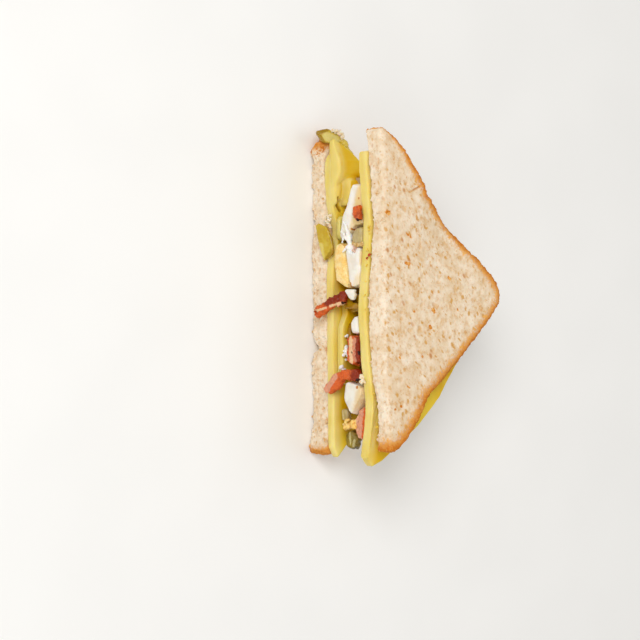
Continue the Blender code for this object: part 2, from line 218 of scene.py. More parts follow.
class Graph:
    """A material under construction, with its coordinates in millimetres."""

    def __init__(self, name: str) -> None:
        """Starts an empty material.

        Args:
            name: The material's name.
        """
        self.material = bpy.data.materials.new(name)
        self.material.use_nodes = True
        self.tree = self.material.node_tree
        self.tree.nodes.clear()
        place = self.node("ShaderNodeTexCoord", output="Object")
        self.place = self.node("ShaderNodeVectorMath", {"operation": "SCALE"}, {0: place, "Scale": 1.0 / MM})

    def node(
        self,
        kind: str,
        settings: dict[str, object] | None = None,
        inputs: dict[int | str, object] | None = None,
        output: int | str = 0,
    ) -> Wire:
        """Adds one node.

        Args:
            kind: The node's type.
            settings: Its properties.
            inputs: Values or wires for its sockets, by name or number.
            output: The socket that is returned.

        Returns:
            The wire from that output.
        """
        made = self.tree.nodes.new(kind)
        for name, value in (settings or {}).items():
            setattr(made, name, value)
        for key, value in (inputs or {}).items():
            if isinstance(value, Wire):
                self.tree.links.new(value.socket, made.inputs[key])
            else:
                made.inputs[key].default_value = value
        return Wire(self, made.outputs[output])

    def noise(
        self,
        size: float,
        detail: float = 3.0,
        stretch: Point = (1.0, 1.0, 1.0),
        seed: float = 0.0,
        turn: float = 0.0,
    ) -> Wire:
        """Soft noise whose lumps are about size millimetres across.

        Args:
            size: The size of the lumps in millimetres.
            detail: How many finer layers it has.
            stretch: How far the lumps are drawn out along x, y and z.
            seed: Moves the pattern, so that two noises differ.
            turn: Turns the pattern about z, in radians.

        Returns:
            A value from 0 to 1, about 0.5 on average.
        """
        inputs = {"Vector": self.laid_out(size, stretch, seed, turn), "Scale": 1.0, "Detail": detail}
        return self.node("ShaderNodeTexNoise", None, inputs, "Fac")

    def laid_out(self, size: float, stretch: Point, seed: float, turn: float) -> Wire:
        """The place in steps of a size, for a pattern to read.

        Args:
            size: The size of a step in millimetres.
            stretch: How far a step is drawn out along x, y and z.
            seed: Moves the place.
            turn: Turns it about z, in radians.

        Returns:
            The place.
        """
        place = self.place
        if turn:
            settings = {"rotation_type": "Z_AXIS"}
            place = self.node("ShaderNodeVectorRotate", settings, {"Vector": place, "Angle": turn})
        scale = tuple(1.0 / (size * s) for s in stretch)
        inputs = {0: place, 1: scale, 2: (seed, seed * 1.7, -seed)}
        return self.node("ShaderNodeVectorMath", {"operation": "MULTIPLY_ADD"}, inputs)

    def dots(self, kind: Dots) -> Wire:
        """Scattered soft dots, some stronger than others.

        Args:
            kind: The dots.

        Returns:
            Up to 1 inside a dot and 0 outside.
        """
        moved = self.laid_out(kind.spacing, kind.stretch, kind.seed, kind.turn)
        if kind.bent:
            inputs = {"Vector": moved, "Scale": 1.7, "Detail": 2.0}
            bend = self.node("ShaderNodeTexNoise", None, inputs, "Color")
            inputs = {0: bend, 1: (kind.bent * 2.0,) * 3, 2: moved}
            moved = self.node("ShaderNodeVectorMath", {"operation": "MULTIPLY_ADD"}, inputs)
        cells = self.node("ShaderNodeTexVoronoi", None, {"Vector": moved, "Scale": 1.0}, "Distance")
        colour = Wire(self, cells.socket.node.outputs["Color"])
        draw = self.node("ShaderNodeSeparateColor", None, {0: colour})
        near = cells.ramp(kind.radius, kind.radius * DOT_CORE)
        return near * draw.ramp(kind.share + 0.15, kind.share - 0.25)

    def attribute(self, name: str) -> Wire:
        """A value that is painted on the mesh."""
        return self.node("ShaderNodeAttribute", {"attribute_name": name}, output="Fac")

    def mix(self, share: Wire | float, first: Wire | Colour, second: Wire | Colour) -> Wire:
        """Blends two colours by a share of the second."""
        inputs = {0: share, MIX_FIRST: first, MIX_SECOND: second}
        return self.node("ShaderNodeMix", {"data_type": "RGBA"}, inputs, MIX_RESULT)

    def bump(self, height: Wire, depth: float, strength: float = 1.0, under: Wire | None = None) -> Wire:
        """A normal from a height between 0 and 1.

        Args:
            height: The height.
            depth: What a height of 1 is in millimetres.
            strength: The share of the effect.
            under: A normal that this one is laid on.

        Returns:
            The normal.
        """
        inputs: dict[int | str, object] = {"Height": height, "Distance": depth * MM, "Strength": strength}
        if under is not None:
            inputs["Normal"] = under
        return self.node("ShaderNodeBump", None, inputs)

    def surface(
        self, colour: Wire, roughness: Wire | float, normal: Wire, flesh: "Flesh"
    ) -> bpy.types.Material:
        """Ends the graph in a Principled shader.

        Args:
            colour: The base colour.
            roughness: The roughness.
            normal: The normal.
            flesh: How light passes into the material and how wet it is.

        Returns:
            The finished material.
        """
        inputs: dict[int | str, object] = {
            "Base Color": colour,
            "Roughness": roughness,
            "Normal": normal,
            "Subsurface Weight": flesh.weight,
            "Subsurface Radius": flesh.radius,
            "Subsurface Scale": flesh.depth * MM,
            "Specular IOR Level": flesh.shine,
            "Coat Weight": flesh.wet,
            "Coat Roughness": flesh.wet_roughness,
        }
        shader = self.node("ShaderNodeBsdfPrincipled", None, inputs)
        end = self.tree.nodes.new("ShaderNodeOutputMaterial")
        self.tree.links.new(shader.socket, end.inputs["Surface"])
        return self.material


# --------------------------------------------------------------------------------- finishes


@dataclass(frozen=True)
class Flesh:
    """How light passes into a food and how wet its surface is. Its depth is in millimetres."""

    weight: float
    radius: Point
    depth: float
    shine: float = 0.25
    wet: float = 0.0
    wet_roughness: float = 0.2


@dataclass(frozen=True)
class CrumbFinish:
    """Soft toast bread: pale crumb with tan pores, and a browned rind."""

    light: str = "F5E5CE"
    deep: str = "E4C8A2"
    pore: str = "D29A46"
    hole: str = "C07420"
    rind: str = "CC7822"
    rind_light: str = "EAAF5E"
    rind_dark: str = "96500F"
    leaning_pores: Dots = Dots(3.2, 0.3, 0.55, 11.0, 0.3, (1.5, 0.85, 1.0), -0.85)
    long_pores: Dots = Dots(4.2, 0.3, 0.6, 17.0, 0.3, (1.3, 0.9, 0.8), -0.3)
    small_pores: Dots = Dots(1.5, 0.34, 0.4, 23.0, 0.2, (1.2, 0.9, 0.9), -0.5)
    large_holes: Dots = Dots(8.0, 0.17, 0.65, 41.0, 0.12, (1.4, 0.9, 0.9), -0.6)

    def material(self) -> bpy.types.Material:
        """Builds the material, which reads the attributes sink, rind, toast and front.

        Returns:
            The material.
        """
        g = Graph("toast_crumb")
        patch = g.noise(3.6, 2.0, seed=2.0)
        fine = g.noise(1.3, 2.0, seed=4.0)
        grain = g.noise(0.5, 2.0, seed=9.0)
        base = self.browned(g, self.crumb(g, patch), patch, fine, grain)
        normal = g.bump(grain, 0.3, 0.6, g.bump(fine, 0.5, 0.5))
        return g.surface(base, 0.9, normal, Flesh(0.2, (1.0, 0.72, 0.5), 1.4, 0.12))

    def crumb(self, g: Graph, patch: Wire) -> Wire:
        """The crumb with its pores, fewer on the cut side, and with its pits, the deepest of which are
        painted shade.

        Args:
            g: The material's graph.
            patch: The noise of its soft patches.

        Returns:
            The colour of a slice with no crust.
        """
        top = 1.0 - g.attribute("front")
        blotch = (g.noise(11.0, 2.0) * 0.6 + patch * 0.8 + top * 0.1 - 0.25).ramp(0.22, 0.8)
        base = g.mix(blotch, srgb(self.light), srgb(self.deep))
        pores = g.dots(self.leaning_pores).higher(g.dots(self.long_pores)) * 0.95
        pores = (pores + g.dots(self.small_pores) * 0.5) * (0.6 + top * 0.4)
        worn = (g.noise(1.7, 2.0, (1.6, 0.9, 0.9), 31.0, -0.6) * 0.7 + patch * 0.4).ramp(0.54, 0.75)
        pores = pores + worn * (0.2 + top * 0.15)
        base = g.mix(pores.lower(0.85), base, srgb(self.pore))
        base = g.mix(g.dots(self.large_holes) * (0.4 + top * 0.35), base, srgb(self.hole))
        # Pits take the tan pore colour; the deepest pits and the splits get the darker hole colour: painted
        # shade.
        sink = g.attribute("sink")
        base = g.mix(sink.ramp(0.04, 0.35) * 0.4, base, srgb(self.pore))
        return g.mix(sink.ramp(0.45, 1.1) * 0.85, base, srgb(self.hole))

    def browned(self, g: Graph, crumb: Wire, patch: Wire, fine: Wire, grain: Wire) -> Wire:
        """Browns the crumb towards the rind and where it is toasted.

        Args:
            g: The material's graph.
            crumb: The colour of the crumb.
            patch: The noise of soft patches, which with the next two makes the browning uneven.
            fine: Finer noise.
            grain: The finest noise.

        Returns:
            The colour of the slice.
        """
        rind = g.attribute("rind") + (patch - 0.5) * 1.5 + (fine - 0.5) * 1.5 + (grain - 0.5) * 0.4
        mottle = patch * 0.4 + fine * 0.7 + grain * 0.1
        brown = (mottle.ramp(0.48, 0.72) + rind.ramp(0.6, 0.1) * 0.6).lower(1.0)
        crust = g.mix(brown, srgb(self.rind_light), srgb(self.rind))
        burnt = rind.ramp(0.35, -0.15) * mottle.ramp(0.56, 0.7) * 0.8
        crust = g.mix(burnt, crust, srgb(self.rind_dark))
        toasted = (g.attribute("toast") * 1.5 + (mottle - 0.6) * 3.0).ramp(0.2, 1.0)
        return g.mix(toasted.higher(rind.ramp(1.3, 0.5)), crumb, crust)


@dataclass(frozen=True)
class CheeseFinish:
    """Firm yellow cheese: pale where it is cut, deeper on its flat faces, with painted amber shade where it
    lies in shade and painted shade in its cracks.
    """

    cut: str = "ECDA8C"
    cut_deep: str = "E0C558"
    face: str = "EACC3C"
    face_deep: str = "DEB414"
    # painted shade: the amber of the cheese where it lies in shade between the layers
    amber: str = "EABA00"
    # painted shade in the cracks and in the grooves between the layers
    crack: str = "9C7008"

    def material(self) -> bpy.types.Material:
        """Builds the material, which reads the attributes edge, the painted amber shade and the painted
        shade in the cracks.

        Returns:
            The material.
        """
        g = Graph("yellow_cheese")
        streak = g.noise(3.4, 2.0, (12.0, 1.0, 0.8))
        broad = g.noise(14.0, 2.0, seed=3.0)
        grain = g.noise(0.6, 2.0, seed=6.0)
        along = (streak * 0.6 + broad * 0.7 - 0.15).ramp(0.25, 0.85)
        cut = g.mix(along, srgb(self.cut), srgb(self.cut_deep))
        face = g.mix(broad.ramp(0.3, 0.7), srgb(self.face), srgb(self.face_deep))
        base = g.mix(g.attribute("edge"), face, cut)
        # painted shade: amber where the cheese lies in shade
        base = g.mix(g.attribute("amber").lower(1.0), base, srgb(self.amber))
        # painted shade in the cracks
        base = g.mix(g.attribute("crack"), base, srgb(self.crack))
        normal = g.bump(streak, 0.12, 0.3, g.bump(grain, 0.05, 0.3))
        return g.surface(base, 0.42, normal, Flesh(0.45, (1.0, 0.7, 0.1), 3.0, 0.16))


@dataclass(frozen=True)
class EggWhiteFinish:
    """Boiled egg white, with places where yolk or sauce has tinted it, and painted shade in the same colour
    on sides that lie in shade.
    """

    name: str = "egg_white"
    light: str = "F3EFE7"
    deep: str = "E8E0D2"
    # partly a yolk tint, partly painted shade on the shaded sides
    tint: str = "E8CA8A"
    spot: str = "C27A2C"

    def material(self) -> bpy.types.Material:
        """Builds the material, which reads the attributes for the tint, which is partly painted shade, and
        the spots.

        Returns:
            The material.
        """
        g = Graph(self.name)
        broad = g.noise(5.0, 2.0)
        fine = g.noise(1.3, 3.0, seed=5.0)
        base = g.mix(broad.ramp(0.35, 0.7), srgb(self.light), srgb(self.deep))
        # the tint: partly yolk, partly painted shade
        tint = g.attribute("tint")
        mottled = (tint + (fine - 0.5) * 0.4 * tint.ramp(0.0, 0.3)).ramp(-0.1, 1.05)
        base = g.mix(mottled, base, srgb(self.tint))
        specks = g.dots(Dots(2.6, 0.16, 0.3, seed=2.0, bent=0.4)) * tint.ramp(0.4, 0.8) * 0.7
        spot = (g.attribute("spot") * 1.4 + (fine - 0.5) * 1.4).ramp(0.3, 0.9)
        base = g.mix(specks.higher(spot), base, srgb(self.spot))
        normal = g.bump(fine, 0.12, 0.5)
        return g.surface(base, 0.34, normal, Flesh(0.4, (1.0, 0.75, 0.5), 2.0, 0.35, 0.1))


@dataclass(frozen=True)
class YolkFinish:
    """Hard-boiled yolk, mealy, with painted shade that makes it browner in its hollows."""

    name: str = "egg_yolk"
    light: str = "FFE7AC"
    deep: str = "F6C566"
    # painted shade in the hollows
    hollow: str = "D98E24"

    def material(self) -> bpy.types.Material:
        """Builds the material, which reads the attribute sink.

        Returns:
            The material.
        """
        g = Graph(self.name)
        broad = g.noise(4.0, 3.0)
        grain = g.noise(0.8, 3.0, seed=5.0)
        base = g.mix((broad * 0.8 + grain * 0.4).ramp(0.42, 0.8), srgb(self.light), srgb(self.deep))
        # painted shade: the deeper a pit, the browner
        base = g.mix(g.attribute("sink").ramp(0.15, 0.6) * 0.7, base, srgb(self.hollow))
        normal = g.bump(grain, 0.4, 0.7)
        return g.surface(base, 0.75, normal, Flesh(0.3, (1.0, 0.6, 0.25), 1.6, 0.2))


@dataclass(frozen=True)
class BaconFinish:
    """Fried bacon: orange-red to dark red lean, pale fat, pink where it is cut, and charred spots."""

    lean: str = "DC6426"
    deep: str = "8E2C0C"
    fat: str = "EEC496"
    pink: str = "DE9C7C"
    char: str = "30100A"

    def material(self) -> bpy.types.Material:
        """Builds the material, which reads the attributes deep, fat, pink and char.

        Returns:
            The material.
        """
        g = Graph("fried_bacon")
        warp = g.noise(2.4, 3.0)
        fine = g.noise(0.8, 3.0, seed=8.0)
        mottle = warp * 0.5 + fine * 0.6
        torn = (warp - 0.5) * 0.9 + (fine - 0.5) * 0.9
        lean = g.attribute("deep") * 1.1 + (mottle - 0.55) * 2.4
        base = g.mix(lean.ramp(-0.1, 1.0), srgb(self.lean), srgb(self.deep))
        base = g.mix((g.attribute("pink") * 1.3 + torn).ramp(0.25, 0.75), base, srgb(self.pink))
        base = g.mix((g.attribute("fat") * 1.3 + torn).ramp(0.35, 0.8), base, srgb(self.fat))
        charred = (g.attribute("char") * 1.4 + torn * 1.2).ramp(0.5, 0.95)
        specks = g.dots(Dots(2.2, 0.26, 0.3, seed=5.0, bent=0.5)) * 0.55
        base = g.mix(charred.higher(specks), base, srgb(self.char))
        normal = g.bump(fine, 0.5, 0.9, g.bump(warp, 0.9, 0.8))
        roughness = fine.ramp(0.3, 0.75) * 0.3 + 0.25
        return g.surface(base, roughness, normal, Flesh(0.15, (1.0, 0.4, 0.16), 1.2, 0.2, 0.14, 0.15))


@dataclass(frozen=True)
class PickleFinish:
    """Pickled cucumber: wet, half clear flesh inside a darker skin."""

    name: str
    flesh: str
    flesh_deep: str
    skin: str
    pale: str = "E2D48A"

    def material(self) -> bpy.types.Material:
        """Builds the material, which reads the attributes skin and pale.

        Returns:
            The material.
        """
        g = Graph(self.name)
        broad = g.noise(3.6, 3.0)
        fine = g.noise(0.9, 3.0, seed=5.0)
        cloud = (broad * 0.9 + fine * 0.3).ramp(0.4, 0.85)
        base = g.mix(cloud, srgb(self.flesh), srgb(self.flesh_deep))
        seeds = g.dots(Dots(2.1, 0.3, 0.35, seed=3.0, bent=0.3)) * 0.3
        base = g.mix(seeds, base, srgb(self.pale))
        base = g.mix((g.attribute("pale") * 1.2 + (fine - 0.5) * 0.6).ramp(0.2, 0.9), base, srgb(self.pale))
        base = g.mix((g.attribute("skin") + (fine - 0.5) * 0.5).ramp(0.25, 0.85), base, srgb(self.skin))
        normal = g.bump(fine, 0.2, 0.5, g.bump(broad, 0.4, 0.4))
        roughness = broad.ramp(0.3, 0.7) * 0.14 + 0.16
        return g.surface(base, roughness, normal, Flesh(0.35, (1.0, 0.75, 0.12), 2.4, 0.3, 0.25, 0.1))


@dataclass(frozen=True)
class PlainFinish:
    """A small thing of nearly one colour, such as a crumb or a smear, with fine mottling."""

    name: str
    light: str
    deep: str
    roughness: float = 0.5
    soft: float = 0.3

    def material(self) -> bpy.types.Material:
        """Builds the material.

        Returns:
            The material.
        """
        g = Graph(self.name)
        fine = g.noise(1.2, 3.0, seed=2.0)
        base = g.mix(fine.ramp(0.35, 0.7), srgb(self.light), srgb(self.deep))
        flesh = Flesh(self.soft, (1.0, 0.6, 0.3), 1.5)
        return g.surface(base, self.roughness, g.bump(fine, 0.2, 0.6), flesh)


# ------------------------------------------------------------------------------ the bench


def deselect_all() -> None:
    """Leaves nothing selected, because an operator acts on all that is."""
    for obj in bpy.context.selected_objects:
        obj.select_set(False)


@dataclass(frozen=True)
class Relief:
    """One layer of unevenness: its full height and the size of its lumps in metres."""

    height: float
    size: float
    stretch: Point = (1.0, 1.0, 1.0)
    pattern: Pattern = Pattern.CLOUDS
    group: str = ""
    seed: int = 0


@dataclass(frozen=True)
class PitRule:
    """Random pits: how many, their radii in metres and their depth as a share of the radius."""

    count: int
    radius: Span
    depth: float
    stretch: float = 1.0


@dataclass(frozen=True)
class Mark:
    """A soft stroke on a piece, from start to end in millimetres, with its radius and weight.

    Seen from the cut its places are (x, z), and seen from above they are (x, depth behind the cut).
    """

    start: Span
    end: Span
    radius: float
    weight: float = 1.0
    view: View = View.CUT


@dataclass(frozen=True)
class Knife:
    """A straight cut square to the view of the cut side: what lies left of start to end goes."""

    start: Span
    end: Span


@dataclass(frozen=True)
class Lump:
    """One small round lump: its place, its half widths and its turn."""

    place: Point
    size: Point
    turn: Point

    @classmethod
    def at(cls, draw: random.Random, place: Point, size: float) -> "Lump":
        """A lump stretched and turned at random.

        Args:
            draw: The source of random numbers.
            place: Its place.
            size: About its half width.

        Returns:
            The lump.
        """
        stretched = tuple(size * draw.uniform(0.7, 1.3) for _ in range(3))
        return cls(tuple(place), stretched, tuple(draw.uniform(0.0, math.tau) for _ in range(3)))


class Piece:
    """A mesh on the bench, shaped with modifiers and painted with groups and attributes."""

    def __init__(self, obj: bpy.types.Object) -> None:
        """Takes an object that sits at the origin."""
        self.object = obj

    @classmethod
    def from_solid(cls, node: str) -> "Piece":
        """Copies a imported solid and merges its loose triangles.

        Args:
            node: The solid's name.

        Returns:
            The copy, at the solid's place.
        """
        obj = bpy.data.objects.new(f"{node}_piece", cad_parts[node].data.copy())
        bpy.context.scene.collection.objects.link(obj)
        obj.data.materials.clear()
        piece = cls(obj)
        piece.activate()
        bpy.ops.object.mode_set(mode="EDIT")
        bpy.ops.mesh.select_all(action="SELECT")
        bpy.ops.mesh.remove_doubles(threshold=MERGED)
        bpy.ops.object.mode_set(mode="OBJECT")
        return piece

    @classmethod
    def from_lumps(cls, name: str, lumps: list[Lump], faces: int = 2) -> "Piece":
        """Makes one mesh of many small round lumps.

        Args:
            name: The new object's name.
            lumps: Their places and half widths.
            faces: How finely each is divided.

        Returns:
            The joined lumps.
        """
        deselect_all()
        bpy.ops.mesh.primitive_ico_sphere_add(subdivisions=faces, radius=1.0)
        first = bpy.context.object
        for lump in lumps:
            copy = bpy.data.objects.new("lump", first.data.copy())
            bpy.context.scene.collection.objects.link(copy)
            turn = Euler(lump.turn).to_matrix().to_4x4()
            copy.matrix_world = Matrix.Translation(lump.place) @ turn @ Matrix.Diagonal((*lump.size, 1.0))
            copy.select_set(True)
        bpy.context.view_layer.objects.active = copy
        first.select_set(False)
        bpy.data.objects.remove(first)
        if len(lumps) > 1:
            bpy.ops.object.join()
        piece = cls(bpy.context.object)
        bpy.ops.object.transform_apply(location=True, rotation=True, scale=True)
        piece.object.name = name
        return piece

    def activate(self) -> None:
        """Makes this the only selected object and the active one."""
        deselect_all()
        self.object.select_set(True)
        bpy.context.view_layer.objects.active = self.object

    def join(self, *others: "Piece") -> "Piece":
        """Takes other pieces into this one.

        Args:
            others: The pieces, whose objects are used up.

        Returns:
            This piece.
        """
        self.activate()
        for other in others:
            other.object.select_set(True)
        bpy.ops.object.join()
        return self

    def cut(self, *knives: Knife) -> "Piece":
        """Cuts corners off and closes the cuts.

        Args:
            knives: The cuts, one after another.

        Returns:
            This piece.
        """
        for knife in knives:
            across = Vector((knife.start[1] - knife.end[1], 0.0, knife.end[0] - knife.start[0]))
            self.activate()
            bpy.ops.object.mode_set(mode="EDIT")
            bpy.ops.mesh.select_all(action="SELECT")
            bpy.ops.mesh.bisect(
                plane_co=(knife.start[0] * MM, 0.0, knife.start[1] * MM), plane_no=across.normalized(),
                use_fill=True, clear_outer=True, threshold=ON_PLANE,
            )
            bpy.ops.object.mode_set(mode="OBJECT")
        return self

    def shape(self, kind: str, **settings: object) -> "Piece":
        """Adds one modifier and applies it.

        Args:
            kind: The modifier's type.
            settings: Its properties.

        Returns:
            This piece.
        """
        modifier = self.object.modifiers.new(kind.lower(), kind)
        for name, value in settings.items():
            setattr(modifier, name, value)
        self.activate()
        bpy.ops.object.modifier_apply(modifier=modifier.name)
        return self

    def voxels(self, size: float, passes: int) -> "Piece":
        """Remeshes the piece evenly and softens its edges.

        Args:
            size: The length of the new faces.
            passes: How often the edges are smoothed.

        Returns:
            This piece.
        """
        self.shape("REMESH", mode="VOXEL", voxel_size=size)
        if passes:
            self.shape("SMOOTH", factor=0.5, iterations=passes)
        return self

    def uneven(self, *reliefs: Relief) -> "Piece":
        """Displaces the surface by layers of noise, each in its own stretched space.

        Args:
            reliefs: The layers.

        Returns:
            This piece.
        """
        for relief in reliefs:
            texture = bpy.data.textures.new("lumps", relief.pattern.value)
            texture.noise_scale = 1.0
            if relief.pattern is Pattern.CLOUDS:
                texture.noise_depth = 2
            space = bpy.data.objects.new("space", None)
            bpy.context.scene.collection.objects.link(space)
            space.scale = [relief.size * s for s in relief.stretch]
            space.location = SEED_STEP * relief.seed * relief.size * SEED_REACH
            bpy.context.view_layer.update()
            self.shape(
                "DISPLACE", texture=texture, strength=relief.height, mid_level=0.5,
                texture_coords="OBJECT", texture_coords_object=space, vertex_group=relief.group,
            )
            bpy.data.objects.remove(space)
            bpy.data.textures.remove(texture)
        return self

    def places(self) -> np.ndarray:
        """Reads the vertices' places.

        Returns:
            One row for each vertex.
        """
        found = np.empty(len(self.object.data.vertices) * 3, np.float32)
        self.object.data.vertices.foreach_get("co", found)
        return found.reshape(-1, 3).astype(float)

    def normals(self) -> np.ndarray:
        """Reads the vertices' normals.

        Returns:
            One row for each vertex.
        """
        found = np.empty(len(self.object.data.vertices) * 3, np.float32)
        self.object.data.vertices.foreach_get("normal", found)
        return found.reshape(-1, 3).astype(float)

    def move_to(self, places: np.ndarray) -> "Piece":
        """Gives every vertex a new place.

        Args:
            places: One row for each vertex.

        Returns:
            This piece.
        """
        self.object.data.vertices.foreach_set("co", places.astype(np.float32).ravel())
        self.object.data.update()
        return self

    def sunk(self, depths: np.ndarray) -> "Piece":
        """Moves every vertex inwards by its own depth."""
        return self.move_to(self.places() - self.normals() * depths[:, None])

    def paint(self, name: str, values: np.ndarray) -> "Piece":
        """Stores one value for each vertex, for the material to read.

        Args:
            name: The attribute's name.
            values: The values.

        Returns:
            This piece.
        """
        layer = self.object.data.attributes.new(name, "FLOAT", "POINT")
        layer.data.foreach_set("value", values.astype(np.float32))
        return self

    def strokes(self, marks: tuple[Mark, ...]) -> np.ndarray:
        """Works out how strongly strokes colour or dent the surface.

        Args:
            marks: The strokes.

        Returns:
            For each vertex, the greatest weight of the strokes that reach it.
        """
        places = self.places() / MM
        values = np.zeros(len(places))
        for mark in marks:
            flat = places[:, [0, 2]]
            if mark.view is View.TOP:
                flat = np.column_stack([places[:, 0], places[:, 1] - CUT_Y / MM])
            start, line = np.array(mark.start), np.array(mark.end) - np.array(mark.start)
            share = np.clip((flat - start) @ line / max(float(line @ line), TINY), 0.0, 1.0)
            distance = np.linalg.norm(flat - start - share[:, None] * line, axis=1)
            near = smoothstep(distance, mark.radius, mark.radius * STROKE_CORE)
            values = np.maximum(values, mark.weight * near)
        return values

    def group(self, name: str, weights: np.ndarray) -> "Piece":
        """Stores the weights that mask a relief, rounded to a few levels.

        Args:
            name: The vertex group's name.
            weights: For each vertex, a weight from 0 to 1.

        Returns:
            This piece.
        """
        made = self.object.vertex_groups.new(name=name)
        for step in range(1, WEIGHT_STEPS + 1):
            chosen = np.flatnonzero(np.round(weights * WEIGHT_STEPS) == step)
            made.add(chosen.tolist(), step / WEIGHT_STEPS, "REPLACE")
        return self

    def tree(self) -> KDTree:
        """A search tree over the vertices."""
        return tree_of(self.places())

    def dress(self, material: bpy.types.Material, slot: Slot, *nodes: str) -> bpy.types.Object:
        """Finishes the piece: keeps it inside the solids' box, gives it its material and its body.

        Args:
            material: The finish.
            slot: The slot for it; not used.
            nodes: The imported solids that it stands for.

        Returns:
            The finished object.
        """
        low, high = (np.array(corner) for corner in CAD_BOX)
        self.move_to(np.clip(self.places(), low, high))
        self.object.data.materials.clear()
        self.object.data.materials.append(material)
        self.object.vertex_groups.clear()
        self.activate()
        bpy.ops.object.shade_smooth()
        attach(self.object, "root")
        if nodes:
            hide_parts(*nodes)
        LOG.info("%s: %d faces", self.object.name, len(self.object.data.polygons))
        return self.object


def tree_of(places: np.ndarray) -> KDTree:
    """Sorts points so that the nearest to a place is found fast.

    Args:
        places: One row for each point.

    Returns:
        The search tree.
    """
    found = KDTree(len(places))
    for i, place in enumerate(places):
        found.insert(place, i)
    found.balance()
    return found


def distance_to(places: np.ndarray, targets: np.ndarray) -> np.ndarray:
    """Distances in millimetres from every place to the nearest target.

    Args:
        places: One row for each place.
        targets: One row for each target.

    Returns:
        One distance for each place.
    """
    tree = tree_of(targets)
    return np.array([tree.find(place)[2] for place in places]) / MM


def scatter_pits(
    piece: Piece, allowed: np.ndarray, rules: tuple[PitRule, ...], seed: int
) -> np.ndarray:
    """Works out random pits in a surface.

    Args:
        piece: The piece.
        allowed: For each vertex, the chance that a pit may start there.
        rules: The kinds of pits.
        seed: The seed of the draw.

    Returns:
        For each vertex, how deep it sinks.
    """
    draw = random.Random(seed)
    places, tree = piece.places(), piece.tree()
    sink = np.zeros(len(places))
    for rule in rules:
        for _ in range(rule.count):
            start = draw.randrange(len(places))
            radius = rule.radius[0] + (rule.radius[1] - rule.radius[0]) * draw.random() ** 2
            turn = draw.random() * math.tau
            along = Vector((math.cos(turn), math.sin(turn), draw.uniform(-0.6, 0.6))).normalized()
            if draw.random() > allowed[start]:
                continue
            centre = Vector(places[start])
            sink_pit(sink, tree, centre, radius, radius * rule.depth, along, rule.stretch)
    return sink


def sink_pit(
    sink: np.ndarray,
    tree: KDTree,
    centre: Vector,
    radius: float,
    depth: float,
    along: Vector,
    stretch: float,
) -> None:
    """Adds one pit, drawn out along a direction, to the depths.

    Args:
        sink: The depths, which are changed.
        tree: The search tree over the vertices.
        centre: The pit's place.
        radius: Its half width.
        depth: Its depth in the middle.
        along: The direction of its length.
        stretch: Its length over its width.
    """
    for place, index, distance in tree.find_range(centre, radius * stretch):
        reach = (place - centre).dot(along)
        across = distance * distance - reach * reach
        near = (across + (reach / stretch) ** 2) / (radius * radius)
        if near < 1.0:
            sink[index] = max(sink[index], depth * (1.0 - near) ** 1.5)


# --------------------------------------------------------------------------------- breads


